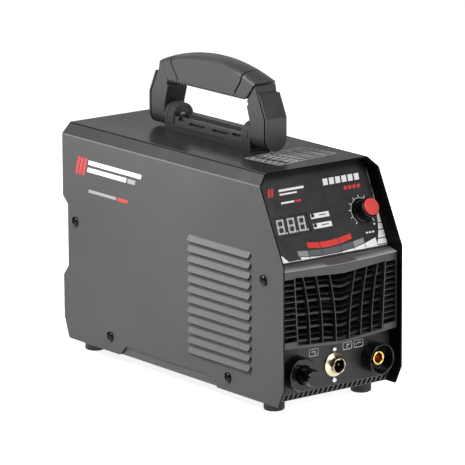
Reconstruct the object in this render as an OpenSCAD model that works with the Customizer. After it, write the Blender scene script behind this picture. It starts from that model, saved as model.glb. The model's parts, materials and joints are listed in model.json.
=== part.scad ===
// Portable plasma cutter power source: steel housing, moulded front, folding
// carry handle, front connectors, rear fan and services, power electronics.
// Millimetres. +X is the operator's right, -Y faces the operator, +Z is up.
// The origin is the middle of the footprint, at the underside of the feet.

/* [Housing] */
// Width of the cover across its side panels
body_w = 140; // [138:1:144]
// Length of the cover from its front edge to its rear edge
body_l = 340; // [336:1:350]
// Height of the cover from its lower edge to its top face
body_h = 211; // [210:1:214]
// Thickness of the cover's steel sheet
sheet_t = 1.5; // [1.2:0.1:1.6]
// Size of the bevel along both top edges of the cover
bevel = 10; // [8:1:12]
// Height of the rubber feet below the cover
foot_h = 10.5; // [9:0.5:14]
// Number of louvres in each side panel
louvre_rows = 12; // [4:1:12]
// How far a louvre stands out of its side panel
louvre_out = 2.8; // [2:0.1:3.2]

/* [Control panel] */
// Lean of the control panel away from upright, in degrees
panel_tilt = 25.7; // [24:0.1:27]
// Radius of the current knob's grip
knob_r = 10.4; // [9:0.1:11]
// Height of the current knob above the panel
knob_h = 16; // [12:0.5:18]
// Number of grip flutes round the knob
knob_flutes = 30; // [12:1:36]

/* [Connectors] */
// Height of the three connector centres above the cover's lower edge
socket_z = 27.5; // [26:0.5:29]
// Bore of the work socket's brass contact
contact_bore = 9.1; // [8.5:0.1:9.5]
// Depth of that bore
contact_depth = 22; // [16:1:24]

/* [Handle] */
// Overall length of the folding handle
handle_l = 180; // [176:1:186]
// Height of the handle's pivot line above the cover
pivot_up = 14.5; // [14:0.5:16]
// Width of the handle's legs
leg_w = 24; // [22:0.5:25]
// Height of the top of the grip above the pivot line
grip_top = 65.7; // [62:0.1:68]
// Radius of the grip's long curve
grip_arc = 220; // [200:5:260]

/* [Hidden] */
$fn = 48;
eps = 0.01;

// Inner faces and clearances
in_x = body_w / 2 - sheet_t;
fit_gap = 0.3;
frame_x = in_x - fit_gap;
mitre = sheet_t * tan(22.5);

// Side panel outline
slope_z = 132;
slope_y = 39.4;
notch_top = 140.5;
notch_bottom = 62;
notch_in = 8;

// Louvres
louvre_h = 6;
louvre_pitch = 9.67;
louvre_top = 138.1;
louvre_y0 = 46.5;
louvre_y1 = 141.5;
louvre_skin = 1.1;

// Cover screws, as [y, z] on each side
screw_spots = [[28.8, 115.3], [82.2, 13], [264.9, 14.7], [320, 117.3]];
screw_head_r = 5;
screw_shank_r = 2.1;

// Feet
foot_r = 9.8;
foot_x = 51.5;
foot_y = [37, 315];
pan_z = 0.5;
pan_t = 1.5;
pan_side_h = 28;

// Front
lower_y = 16;
lip_y = 21.6;
lip_z = 8;
panel_y = 18.6;
panel_z = 130.4;
panel_len = 86;
overlay_t = 0.5;
frame_t = 2.5;
prow = 5.6;
knob_x = 49.7;
knob_s = 34.7;
display_x = -33;
display_s = 33;
display_w = 40;
display_h = 19;
led_x = -7.8;
led_s = [38.6, 29.1];
torch_x = -43.5;
control_x = 2;
work_x = 48;

// Rear
rear_y = 326;
rear_t = 1.5;
fan_z = 60;
fan_size = 92;
fan_hole = 41.25;
switch_x = -36;
switch_z = 162;
rocker_rest = 12;
gland_x = 34;
gland_z = 166;
inlet_x = 40;
inlet_z = 128;
stud_x = -44;
stud_z = 126;
stud_root_r = 3.5;

// Handle
handle_y = 187.5;
pivot_z = body_h + pivot_up;
leg_r = leg_w / 2;
leg_d = 24;
base_l = handle_l - 2 * leg_d - 0.8;
grip_r = leg_r + 1;
under_up = 34;

// Moves a shape from the cover's own coordinates (y from its front edge,
// z from its lower edge) to the part's frame
module place() {
  translate([0, -body_l / 2, foot_h]) children();
}

// Extrudes a [y, z] outline along X, centred
module along_x(len) {
  rotate([90, 0, 90]) linear_extrude(len, center = true) children();
}

// Extrudes an [x, z] outline along Y between two places
module along_y(y0, y1) {
  translate([0, y1, 0]) rotate([90, 0, 0]) linear_extrude(y1 - y0) children();
}

// A cylinder along Y between two places
module rod_y(x, z, y0, y1, r, facets = 48) {
  translate([x, y1, z]) rotate([90, 0, 0]) cylinder(h = y1 - y0, r = r, $fn = facets);
}

// A turned part along Y: outline of [radius, y] points, y growing to the rear
module turned_y(x, z, outline) {
  translate([x, 0, z]) rotate([-90, 0, 0]) rotate_extrude($fn = 64) polygon(outline);
}

// Coordinates of the control panel: x, distance up the panel, height above it
module on_panel() {
  translate([0, panel_y, panel_z]) rotate([90 - panel_tilt, 0, 0]) children();
}

module rounded_rect(w, h, r) {
  hull() for (sx = [-1, 1], sy = [-1, 1])
    translate([sx * (w / 2 - r), sy * (h / 2 - r)]) circle(r, $fn = 24);
}

// A rectangle with cut corners, exact for sheet parts
module cut_rect(w, h, c) {
  polygon([
    [-w / 2 + c, -h / 2], [w / 2 - c, -h / 2], [w / 2, -h / 2 + c], [w / 2, h / 2 - c],
    [w / 2 - c, h / 2], [-w / 2 + c, h / 2], [-w / 2, h / 2 - c], [-w / 2, -h / 2 + c]
  ]);
}

// Tube swept along a list of points, closed at both ends
function unit(v) = v / norm(v);
function tangent(p, i) =
  unit(p[min(i + 1, len(p) - 1)] - p[max(i - 1, 0)]);
function side_of(t) = abs(t[2]) > 0.95 ? unit(cross(t, [0, 1, 0])) : unit(cross(t, [0, 0, 1]));
function ring(p, i, r, n) =
  let (t = tangent(p, i), a = side_of(t), b = cross(a, t))
  [for (k = [0:n - 1]) p[i] + r * (cos(360 * k / n) * a + sin(360 * k / n) * b)];

module tube(p, r, n = 10) {
  last = len(p) - 1;
  pts = [for (i = [0:last]) each ring(p, i, r, n)];
  sides = [for (i = [0:last - 1], k = [0:n - 1])
    [i * n + k, i * n + (k + 1) % n, (i + 1) * n + (k + 1) % n, (i + 1) * n + k]];
  polyhedron(pts, concat(
    sides,
    [[for (k = [n - 1:-1:0]) k]],
    [[for (k = [0:n - 1]) last * n + k]]
  ), convexity = 8);
}

// A smooth route through four corner points, as a cubic curve
function bezier(a, b, c, d, t) =
  pow(1 - t, 3) * a + 3 * pow(1 - t, 2) * t * b + 3 * (1 - t) * t * t * c + pow(t, 3) * d;
function route(a, b, c, d, n) = [for (i = [0:n]) bezier(a, b, c, d, i / n)];

// ---------------------------------------------------------------- housing

module cover_section(outer) {
  w = body_w / 2 - (outer ? 0 : sheet_t);
  h = body_h - (outer ? 0 : sheet_t);
  shift = outer ? 0 : mitre;
  side_z = body_h - bevel - shift;
  top_x = body_w / 2 - bevel - shift;
  low = outer ? 0 : -1;
  polygon([[-w, low], [-w, side_z], [-top_x, h], [top_x, h], [w, side_z], [w, low]]);
}

// Space inside the cover, with the moulded parts' clearance
module within_cover() {
  w = frame_x;
  h = body_h - sheet_t - fit_gap;
  shift = mitre + fit_gap * tan(22.5);
  along_y(-20, body_l + 20) polygon([
    [-w, -1], [-w, body_h - bevel - shift], [-body_w / 2 + bevel + shift, h],
    [body_w / 2 - bevel - shift, h], [w, body_h - bevel - shift], [w, -1]
  ]);
}

module cover_side_outline() {
  polygon([
    [8.4, 0], [0, 17.4], [0, slope_z], [slope_y, body_h], [body_l, body_h],
    [body_l, notch_top], [body_l - notch_in, notch_top - notch_in],
    [body_l - notch_in, notch_bottom + 10], [body_l, notch_bottom],
    [body_l, 21.3], [body_l - 7.4, 0], [249.5, 0], [239.5, 9.8], [109, 9.8], [98, 0]
  ]);
}

// One pressed louvre on the -X side: a hood with coned ends, open below
module louvre_form(outline) {
  reach = outline[1][0];
  translate([-body_w / 2, 0, 0]) {
    along_y(louvre_y0 + reach, louvre_y1 - reach)
      polygon([for (q = outline) [-q[0], q[1]]]);
    translate([0, louvre_y1 - reach, 0]) rotate([0, 0, 90])
      rotate_extrude(angle = 90, $fn = 32) polygon(outline);
    translate([0, louvre_y0 + reach, 0]) rotate([0, 0, 180])
      rotate_extrude(angle = 90, $fn = 32) polygon(outline);
  }
}

module both_sides() {
  children();
  mirror([1, 0, 0]) children();
}

module cover() {
  color("dimgray") place() difference() {
    union() {
      intersection() {
        difference() {
          along_y(-1, body_l + 1) cover_section(true);
          along_y(-2, body_l + 2) cover_section(false);
        }
        along_x(body_w + 2) cover_side_outline();
      }
      both_sides() for (i = [0:louvre_rows - 1])
        translate([0, 0, louvre_top - i * louvre_pitch])
          louvre_form([[0, 0], [louvre_out, -louvre_h], [0, -louvre_h]]);
    }
    both_sides() for (i = [0:louvre_rows - 1])
      translate([0, 0, louvre_top - i * louvre_pitch]) {
        louvre_form([[0, -1.8], [louvre_out - louvre_skin, -louvre_h - eps],
          [0, -louvre_h - eps]]);
        translate([-body_w / 2 - eps, louvre_y0 + 2, -louvre_h - eps])
          cube([sheet_t + 1, louvre_y1 - louvre_y0 - 4, louvre_h - 1.8]);
      }
    both_sides() for (q = screw_spots)
      translate([-body_w / 2 - 1, q[0], q[1]]) rotate([0, 90, 0]) cylinder(h = 4, r = 2.6);
    // Fold line between the top face and each bevel
    both_sides() translate([body_w / 2 - bevel, body_l / 2, body_h + 0.3])
      rotate([0, 45, 0]) cube([0.8, body_l + 2, 0.8], center = true);
    for (dy = [-30, 30])
      translate([0, handle_y + dy, body_h - 3]) cylinder(h = 6, r = 2.2);
  }
}

module cover_screws() {
  color("black") place() both_sides() for (q = screw_spots)
    translate([-body_w / 2, q[0], q[1]]) rotate([0, -90, 0]) difference() {
      union() {
        translate([0, 0, -9]) cylinder(h = 9, r = screw_shank_r);
        rotate_extrude($fn = 48)
          polygon([[0, 0], [screw_head_r, 0], [screw_head_r, 0.8], [4.3, 1.9], [2.8, 2.6], [0, 2.8]]);
      }
      for (a = [0, 90]) rotate([0, 0, a])
        translate([0, 0, 2.4]) cube([5.2, 1.1, 2.4], center = true);
    }
}

module base_pan() {
  color("dimgray") place() difference() {
    union() {
      translate([-frame_x, 25, pan_z]) cube([2 * frame_x, rear_y - rear_t - 25, pan_t]);
      for (sx = [-1, 1])
        translate([sx * (frame_x - pan_t / 2) - pan_t / 2, 25, pan_z])
          cube([pan_t, 281, pan_side_h]);
    }
    for (x = [-foot_x, foot_x], y = foot_y)
      translate([x, y, -1]) cylinder(h = 5, r = 2.1);
    for (x = [-body_w / 2 - 1, body_w / 2 - 9], q = [screw_spots[1], screw_spots[2]])
      translate([x, q[0], q[1]]) rotate([0, 90, 0]) cylinder(h = 10, r = screw_shank_r + 0.05);
    // Cooling slots in the floor
    for (y = [110:14:222]) for (x = [-34, 34])
      translate([x, y, 0]) cube([40, 4, 6], center = true);
  }
}

module rubber_feet() {
  color("black") place() for (x = [-foot_x, foot_x], y = foot_y)
    translate([x, y, -foot_h]) difference() {
      rotate_extrude($fn = 48)
        polygon([[0, 0], [foot_r - 1.2, 0], [foot_r, 1.2], [foot_r, foot_h + pan_z - 1.5],
          [foot_r - 1, foot_h + pan_z], [0, foot_h + pan_z]]);
      translate([0, 0, -1]) cylinder(h = 5.5, r = 4.6);
      translate([0, 0, -1]) cylinder(h = foot_h + 4, r = 2.1);
    }
}

module foot_screws() {
  color("silver") place() for (x = [-foot_x, foot_x], y = foot_y)
    translate([x, y, -foot_h]) difference() {
      union() {
        translate([0, 0, 2.1]) cylinder(h = 2.4, r = 3.8);
        translate([0, 0, 2.1]) cylinder(h = foot_h + 3, r = 2);
      }
      for (a = [0, 90]) rotate([0, 0, a])
        translate([0, 0, 2.3]) cube([4.4, 0.9, 1.6], center = true);
    }
}

// ------------------------------------------------------------ front moulding

// Height of the panel plane's rear skin at a given distance up the panel
function panel_pt(s, n) = [
  panel_y + s * sin(panel_tilt) - n * cos(panel_tilt),
  panel_z + s * cos(panel_tilt) + n * sin(panel_tilt)
];

module front_slots() {
  lean = 2.6;
  for (i = [-11:11]) translate([i * 5.78, 0, 0])
    along_y(10, 30) polygon([[-2.8, 1], [-0.4, 1], [lean - 0.4, 7.2], [lean - 2.8, 7.2]]);
}

module front_frame() {
  skin = panel_pt(0, -overlay_t);
  top = panel_pt(panel_len, -overlay_t);
  back = panel_pt(panel_len, -overlay_t - frame_t);
  back0 = panel_pt(0, -overlay_t - frame_t);
  color([0.2, 0.2, 0.2]) place() difference() {
    intersection() {
      within_cover();
      union() {
        along_x(2 * frame_x) polygon([
          [lip_y, 0], [lower_y, lip_z], [lower_y, 126.5], skin, top, back, back0,
          [lower_y + frame_t, 126.5], [lower_y + frame_t, lip_z + 1], [lip_y + frame_t + 0.4, 0]
        ]);
        for (sx = [-1, 1]) translate([sx * (frame_x - frame_t / 2), 0, 0])
          along_x(frame_t) polygon([
            [lower_y + 1, 31], [lower_y + 1, 126.5], back0, back, back + [8, -3],
            [37, 130], [37, 31]
          ]);
      }
    }
    // Air outlet behind the grille
    translate([-50, lower_y - 2, 59]) cube([100, 8, 56]);
    front_slots();
    rod_y(torch_x, socket_z, 0, 30, 12);
    rod_y(control_x, socket_z, 0, 30, 8.1);
    rod_y(work_x, socket_z, 0, 30, 12);
    for (dz = [-14.6, 14.6]) rod_y(control_x, socket_z + dz, 0, 30, 1.25, 24);
    on_panel() {
      translate([display_x, display_s, -4]) cube([display_w - 1, display_h - 1, 12], center = true);
      translate([knob_x, knob_s, -10]) cylinder(h = 20, r = 4.15);
      for (s = led_s) translate([led_x, s, -10]) cylinder(h = 20, r = 1.6, $fn = 24);
    }
    for (x = [-body_w / 2 - 1, body_w / 2 - 9])
      translate([x, screw_spots[0][0], screw_spots[0][1]]) rotate([0, 90, 0])
        cylinder(h = 10, r = screw_shank_r + 0.05);
  }
}

// Plan of the grille's bowed front, from one depth behind it to another
module bowed_slab(d0, d1, z0, z1) {
  translate([0, 0, z0]) linear_extrude(z1 - z0) polygon([
    [-frame_x, prow + d0], [0, d0], [frame_x, prow + d0],
    [frame_x, prow + d1], [0, d1], [-frame_x, prow + d1]
  ]);
}

// Sideways place of a slat: they stand upright below and flare out at the top
function flare(t) = 1 - pow(1 - t, 2.2);
function slat_x(low_x, high_x, t) = low_x + (high_x - low_x) * (1 - flare(1 - t));

slat_low = [7.7, 22.3, 36.2];
slat_high = [16, 30.8, 44.6];
slat_w = 1.5;
open_low = 54.6;
open_high = 119.4;
open_dip = 2.6;

// The grille's opening, dipped in the middle
module grille_opening() {
  along_y(-4, 20) polygon([
    [-49.6, open_low + 1], [0, open_low - 1], [49.6, open_low + 1],
    [53.5, open_high], [0, open_high - open_dip], [-53.5, open_high]
  ]);
}

module slat(low_x, high_x) {
  n = 8;
  z_at = function (t) open_low - 3 + (open_high - open_low + 5) * t;
  left = [for (i = [0:n]) [slat_x(low_x, high_x, i / n) - slat_w / 2, z_at(i / n)]];
  right = [for (i = [n:-1:0]) [slat_x(low_x, high_x, i / n) + slat_w / 2, z_at(i / n)]];
  along_y(-4, 20) polygon(concat(left, right));
}

module front_grille() {
  color([0.22, 0.22, 0.22]) place() {
    difference() {
      // Hood, sill and side blocks
      intersection() {
        bowed_slab(0, lower_y - prow, 51.5, 130);
        along_x(2 * frame_x) polygon([
          [lower_y, 51.5], [-1, 51.5], [-1, 125.6], [prow, 126], [lower_y, 128.8]
        ]);
      }
      grille_opening();
      // Hollow behind the hood and the sill
      intersection() {
        bowed_slab(3, lower_y, 57.5, 122.8);
        translate([-frame_x + 3, -5, 57.5]) cube([2 * frame_x - 6, 30, 65.3]);
      }
      // Ribs' gaps in the side blocks
      for (sx = [-1, 1], i = [0:8])
        translate([sx * 61.2, prow, 62 + i * 6.3]) cube([11.6, 14, 4.9], center = true);
      // Bottom corners of the block rise a little towards the sides
      for (sx = [-1, 1])
        along_y(-4, 20) polygon([[sx * 10, 51.4], [sx * 70, 51.4], [sx * 70, 53.6]]);
    }
    // Upright slats
    intersection() {
      bowed_slab(0.4, 7, 52, 124);
      union() {
        for (i = [0:2]) {
          slat(slat_low[i], slat_high[i]);
          slat(-slat_low[i], -slat_high[i]);
        }
      }
    }
    // Cross blades, thick and thin in turn, set back behind the slats
    intersection() {
      bowed_slab(3.6, 10, 52, 124);
      union() for (i = [0:9]) {
        z = open_low + 2.5 + i * 6.1;
        t = i % 2 == 0 ? 2.6 : 1.2;
        along_y(-4, 20) polygon([
          [-54, z + 1.2], [0, z - 1.2], [54, z + 1.2], [54, z + 1.2 + t], [0, z - 1.2 + t],
          [-54, z + 1.2 + t]
        ]);
      }
    }
  }
}

module control_overlay() {
  color([0.23, 0.23, 0.23]) place() intersection() {
    within_cover();
    on_panel() difference() {
      translate([-frame_x, 0, -overlay_t]) cube([2 * frame_x, panel_len - 1, overlay_t]);
      translate([display_x, display_s, 0]) cube([display_w, display_h, 4], center = true);
      translate([knob_x, knob_s, -2]) cylinder(h = 4, r = 4.3);
      for (s = led_s) translate([led_x, s, -2]) cylinder(h = 4, r = 1.6, $fn = 24);
    }
  }
}

module display_lens() {
  color([0.12, 0.1, 0.1]) place() on_panel() translate([display_x, display_s, -0.27])
    cube([display_w - 0.3, display_h - 0.3, 0.44], center = true);
}

// Seven bars and a point for each digit of the display
module digit_segments(w, h, t) {
  for (y = [-h / 2, 0, h / 2]) translate([0, y]) square([w - 1.6 * t, t], center = true);
  for (sx = [-1, 1], sy = [-1, 1])
    translate([sx * w / 2, sy * h / 4]) square([t, h / 2 - 1.4 * t], center = true);
  translate([w / 2 + 2.2, -h / 2]) circle(t * 0.6, $fn = 24);
}

module display_module() {
  color("gainsboro") place() on_panel() {
    translate([display_x, display_s, -6.2]) cube([38, 17.6, 9], center = true);
    for (i = [-1:1]) translate([display_x + i * 12.7 - 0.8, display_s, -1.7])
      linear_extrude(0.7) digit_segments(6.6, 12, 1.3);
  }
}

module display_board() {
  color("darkgreen") place() on_panel() difference() {
    translate([-56, 14, -12.6]) cube([124 - 6, 42, 1.6]);
    translate([knob_x, knob_s, -14]) cylinder(h = 6, r = 4.3);
  }
}

module status_leds() {
  color("white") place() on_panel() for (s = led_s) translate([led_x, s, -11]) {
    cylinder(h = 11.2, r = 1.5, $fn = 24);
    translate([0, 0, 4]) cylinder(h = 1, r = 1.9, $fn = 24);
  }
}

module pot_body() {
  color("silver") place() on_panel() translate([knob_x, knob_s, 0]) difference() {
    union() {
      translate([0, 0, -23]) cylinder(h = 10, r = 8);
      translate([0, 0, -13]) cylinder(h = 14.4, r = 4.1);
      translate([0, 0, -5.6]) cylinder(h = 2.4, r = 6.6, $fn = 6);
    }
    translate([0, 0, -15]) cylinder(h = 18, r = 3.05);
  }
}

module pot_shaft() {
  color("silver") place() on_panel() translate([knob_x, knob_s, -14.5])
    cylinder(h = 24.5, r = 3);
}

module knob_body() {
  color("black") place() on_panel() translate([knob_x, knob_s, 0]) difference() {
    translate([0, 0, 0.5]) rotate_extrude($fn = 64)
      polygon([[0, 0], [11.6, 0], [11.6, 1.4], [knob_r + 0.3, 2.4], [knob_r, 3],
        [knob_r - 0.7, knob_h - 3.4], [knob_r - 1.4, knob_h - 2.9], [0, knob_h - 2.9]]);
    for (i = [0:knob_flutes - 1]) rotate([0, 0, i * 360 / knob_flutes])
      translate([knob_r + 0.25, 0, 3.4]) cylinder(h = knob_h - 7.5, r = 0.6, $fn = 16);
    translate([0, 0, -1]) cylinder(h = 11, r = 3.0);
    translate([0, 0, -1]) cylinder(h = 3, r = 4.6);
  }
}

module knob_cap() {
  color("tomato") place() on_panel() translate([knob_x, knob_s, knob_h - 2.4])
    rotate_extrude($fn = 64)
      polygon([[0, 0], [9, 0], [9.4, 0.5], [9.4, 1.6], [8.7, 2.4], [0, 2.4]]);
}

// --------------------------------------------------------------- connectors

module torch_shroud() {
  color("black") place() turned_y(torch_x, socket_z, [
    [8.4, 4], [9, 3.5], [14.5, 3.5], [15.7, 4.7], [15.7, lower_y], [11.9, lower_y],
    [11.9, 27], [8.4, 27]
  ]);
}

module torch_connector() {
  color("goldenrod") place() turned_y(torch_x, socket_z, [
    [1.9, -7], [5.8, -7], [6.2, -6.5], [6.2, 8], [8.35, 8], [8.35, 27], [10, 27], [10, 31],
    [6, 31], [6, 44], [1.9, 44]
  ]);
}

module torch_nut() {
  color("silver") place() difference() {
    rod_y(torch_x, socket_z, lower_y + frame_t, lower_y + frame_t + 5, 15.5, 6);
    rod_y(torch_x, socket_z, lower_y, 40, 11.95);
  }
}

module torch_cap() {
  color("black") place() turned_y(torch_x, socket_z, [
    [0, -13.5], [6.9, -13.5], [7.9, -12.5], [7.9, 6], [6.6, 6], [6.6, -9.5], [0, -9.5]
  ]);
}

module control_socket_shell() {
  color("lightgoldenrodyellow") place() turned_y(control_x, socket_z, [
    [6.3, 8.4], [6.7, 7.9], [7.1, 8.3], [7.1, 11.4], [9.4, 14], [11.1, 14.4],
    [11.45, 14.8], [11.45, lower_y], [8, lower_y], [8, 29], [6.3, 29]
  ]);
}

module control_socket_insert() {
  color("black") place() difference() {
    rod_y(control_x, socket_z, 18.5, 28, 6.3);
    for (dx = [-2.6, 2.6]) rod_y(control_x + dx, socket_z, 10, 40, 1, 24);
  }
}

module control_socket_pins() {
  color("goldenrod") place() for (dx = [-2.6, 2.6])
    rod_y(control_x + dx, socket_z, 12, 33, 1, 24);
}

module control_socket_nut() {
  color("silver") place() difference() {
    rod_y(control_x, socket_z, lower_y + frame_t, lower_y + frame_t + 4, 11, 6);
    rod_y(control_x, socket_z, lower_y, 40, 8.05);
  }
}

module control_socket_screws() {
  color("silver") place() for (dz = [-14.6, 14.6]) difference() {
    turned_y(control_x, socket_z + dz, [
      [0, 14], [1.4, 14.1], [2.3, 14.7], [2.6, 15.4], [2.6, lower_y], [1.2, lower_y],
      [1.2, 24], [0, 24]
    ]);
    translate([control_x, 14, socket_z + dz]) rotate([0, 30, 0])
      cube([4.2, 1.4, 0.7], center = true);
  }
}

module work_socket_shell() {
  color("black") place() difference() {
    turned_y(work_x, socket_z, [
      [12.9, 2.3], [13.4, 1.5], [14.35, 2.1], [14.35, lower_y], [11.9, lower_y], [11.9, 27],
      [6.75, 27], [6.75, 13.5], [12.9, 13.5]
    ]);
    // Keyway for the plug
    translate([work_x - 1.4, 1, socket_z - 14]) cube([2.8, 12, 2.4]);
  }
}

module work_socket_contact() {
  r = contact_bore / 2;
  color("goldenrod") place() difference() {
    turned_y(work_x, socket_z, [
      [r + 0.6, 7], [6.2, 7], [6.7, 7.5], [6.7, 27], [9, 27], [9, 31], [5, 31], [5, 42],
      [0, 42], [0, 7 + contact_depth], [r, 7 + contact_depth], [r, 7.6]
    ]);
    // Bayonet slot in the bore
    translate([work_x - 1.2, 6, socket_z + r - 1]) cube([2.4, 12, 1.9]);
  }
}

module work_socket_nut() {
  color("silver") place() difference() {
    rod_y(work_x, socket_z, lower_y + frame_t, lower_y + frame_t + 5, 15.5, 6);
    rod_y(work_x, socket_z, lower_y, 40, 11.95);
  }
}

// --------------------------------------------------------------------- rear

module rear_panel() {
  flange_y = 310;
  color("dimgray") place() difference() {
    union() {
      translate([0, rear_y - rear_t, 0]) along_y(0, rear_t)
        polygon([[-frame_x, 2.4], [frame_x, 2.4], [frame_x, 199], [58, 208], [-58, 208],
          [-frame_x, 199]]);
      for (sx = [-1, 1])
        translate([sx * (frame_x - rear_t / 2) - rear_t / 2, flange_y, 32])
          cube([rear_t, rear_y - rear_t - flange_y, 164]);
    }
    rod_y(0, fan_z, rear_y - 5, rear_y + 5, 43);
    for (sx = [-1, 1], sz = [-1, 1])
      rod_y(sx * fan_hole, fan_z + sz * fan_hole, rear_y - 5, rear_y + 5, 2.1, 24);
    translate([switch_x, rear_y, switch_z]) cube([21.6, 8, 28.2], center = true);
    rod_y(gland_x, gland_z, rear_y - 5, rear_y + 5, 10.1);
    rod_y(inlet_x, inlet_z, rear_y - 5, rear_y + 5, 6.7);
    rod_y(stud_x, stud_z, rear_y - 5, rear_y + 5, stud_root_r + 0.1, 32);
    for (x = [-body_w / 2 - 1, body_w / 2 - 9])
      translate([x, screw_spots[3][0], screw_spots[3][1]]) rotate([0, 90, 0])
        cylinder(h = 10, r = screw_shank_r + 0.05);
  }
}

module fan_frame() {
  y1 = rear_y - rear_t;
  y0 = y1 - 25;
  color([0.1, 0.1, 0.1]) place() {
    difference() {
      translate([0, 0, fan_z]) along_y(y0, y1) cut_rect(fan_size, fan_size, 4);
      rod_y(0, fan_z, y0 - 1, y1 + 1, 43.5);
      for (sx = [-1, 1], sz = [-1, 1])
        rod_y(sx * fan_hole, fan_z + sz * fan_hole, y0 - 1, y1 + 1, 2.1, 24);
    }
    // Motor boss on three arms, with the rotor's bearing bore
    difference() {
      union() {
        rod_y(0, fan_z, y0, y0 + 4, 15);
        for (a = [30, 150, 270]) translate([0, y0 + 1.5, fan_z]) rotate([0, a, 0])
          translate([29, 0, 0]) cube([30, 3, 4], center = true);
      }
      rod_y(0, fan_z, y0 - 1, y0 + 5, 1.55, 24);
    }
  }
}

module fan_rotor() {
  y0 = rear_y - rear_t - 25;
  blades = 7;
  color([0.08, 0.08, 0.08]) place() {
    difference() {
      union() {
        rod_y(0, fan_z, y0 + 4.8, y0 + 22, 17);
        intersection() {
          rod_y(0, fan_z, y0 + 5.5, y0 + 21, 42.4);
          union() for (i = [0:blades - 1]) translate([0, y0 + 13.2, fan_z])
            rotate([0, i * 360 / blades, 0]) translate([29.5, 0, 0]) rotate([52, 0, 0])
              cube([29, 30, 1.6], center = true);
        }
      }
      rod_y(0, fan_z, y0 + 21.4, y0 + 23, 12);
    }
    rod_y(0, fan_z, y0 + 0.4, y0 + 5, 1.5, 24);
  }
}

module fan_guard() {
  wire = 1.1;
  color("silver") place() {
    for (r = [9, 18.5, 28, 37.5])
      translate([0, rear_y + 3, fan_z]) rotate([90, 0, 0]) rotate_extrude($fn = 72)
        translate([r, 0]) circle(wire, $fn = 16);
    for (a = [45, 135]) translate([0, rear_y + 1.3, fan_z]) rotate([0, a, 0])
      translate([-52, 0, 0]) rotate([0, 90, 0]) cylinder(h = 104, r = wire, $fn = 16);
    for (sx = [-1, 1], sz = [-1, 1]) difference() {
      rod_y(sx * fan_hole, fan_z + sz * fan_hole, rear_y, rear_y + 2.2, 5, 32);
      rod_y(sx * fan_hole, fan_z + sz * fan_hole, rear_y - 1, rear_y + 3, 2.1, 24);
    }
  }
}

module fan_screws() {
  color("silver") place() for (sx = [-1, 1], sz = [-1, 1]) difference() {
    union() {
      rod_y(sx * fan_hole, fan_z + sz * fan_hole, rear_y - 20, rear_y + 2.2, 2, 24);
      turned_y(sx * fan_hole, fan_z + sz * fan_hole,
        [[0, rear_y + 2.2], [3.6, rear_y + 2.2], [3.4, rear_y + 3.6], [2, rear_y + 4.6],
          [0, rear_y + 4.8]]);
    }
    translate([sx * fan_hole, rear_y + 4.6, fan_z + sz * fan_hole]) rotate([0, 45, 0])
      cube([5, 1.6, 0.9], center = true);
  }
}

module switch_housing() {
  color("black") place() translate([switch_x, 0, switch_z]) difference() {
    union() {
      along_y(rear_y, rear_y + 2) cut_rect(25, 31, 1.5);
      translate([-10.7, rear_y - 22, -14]) cube([21.4, 22 + eps, 28]);
    }
    translate([-8.6, rear_y - 16, -12.5]) cube([17.2, 30, 25]);
    rotate([0, 90, 0]) translate([0, rear_y, 0]) cylinder(h = 19.2, r = 1.25, center = true);
  }
}

module switch_rocker() {
  color("black") place() translate([switch_x, rear_y, switch_z]) rotate([-rocker_rest, 0, 0]) {
    along_x(16.6) polygon([
      [4.6, -11.4], [1.9, 0], [4.6, 11.4], [-3.8, 11.3], [-8.5, 4], [-8.5, -4], [-3.8, -11.3]
    ]);
    rotate([0, 90, 0]) cylinder(h = 18.6, r = 1.2, center = true);
  }
}

module cable_gland() {
  color("black") place() difference() {
    union() {
      rod_y(gland_x, gland_z, rear_y, rear_y + 5, 13, 6);
      rod_y(gland_x, gland_z, rear_y + 5, rear_y + 9, 9.5);
      rod_y(gland_x, gland_z, rear_y - 12, rear_y, 10);
    }
    rod_y(gland_x, gland_z, rear_y - 13, rear_y + 3, 6.5);
    rod_y(gland_x, gland_z, rear_y + 2, rear_y + 10, 7.9);
  }
}

module gland_cap_nut() {
  color("black") place() difference() {
    union() {
      intersection() {
        rod_y(gland_x, gland_z, rear_y + 5.3, rear_y + 21, 13, 6);
        turned_y(gland_x, gland_z, [[0, rear_y + 5.3], [13, rear_y + 5.3], [13, rear_y + 13],
          [8.5, rear_y + 21], [0, rear_y + 21]]);
      }
    }
    rod_y(gland_x, gland_z, rear_y + 4, rear_y + 17.5, 9.6);
    rod_y(gland_x, gland_z, rear_y + 4, rear_y + 22, 6);
  }
}

module gland_seal() {
  color([0.15, 0.15, 0.15]) place() turned_y(gland_x, gland_z, [
    [4.5, rear_y + 3.2], [7.8, rear_y + 3.2], [7.8, rear_y + 9], [9.3, rear_y + 9.2],
    [9.3, rear_y + 17.2], [4.5, rear_y + 17.2]
  ]);
}

module gland_locknut() {
  color("black") place() difference() {
    rod_y(gland_x, gland_z, rear_y - rear_t - 5, rear_y - rear_t, 14, 6);
    rod_y(gland_x, gland_z, rear_y - 12, rear_y, 10.05);
  }
}

module air_inlet() {
  color("goldenrod") place() difference() {
    union() {
      rod_y(inlet_x, inlet_z, rear_y, rear_y + 8, 9.5, 6);
      turned_y(inlet_x, inlet_z, [[0, rear_y + 8], [6.58, rear_y + 8], [6.58, body_l + 12.5],
        [5.8, body_l + 13.5], [0, body_l + 13.5]]);
      rod_y(inlet_x, inlet_z, rear_y - 26, rear_y, 6.6);
    }
    rod_y(inlet_x, inlet_z, rear_y - 30, body_l + 20, 3);
  }
}

module inlet_locknut() {
  color("goldenrod") place() difference() {
    rod_y(inlet_x, inlet_z, rear_y - rear_t - 5, rear_y - rear_t, 11, 6);
    rod_y(inlet_x, inlet_z, rear_y - 12, rear_y, 6.65);
  }
}

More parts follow.
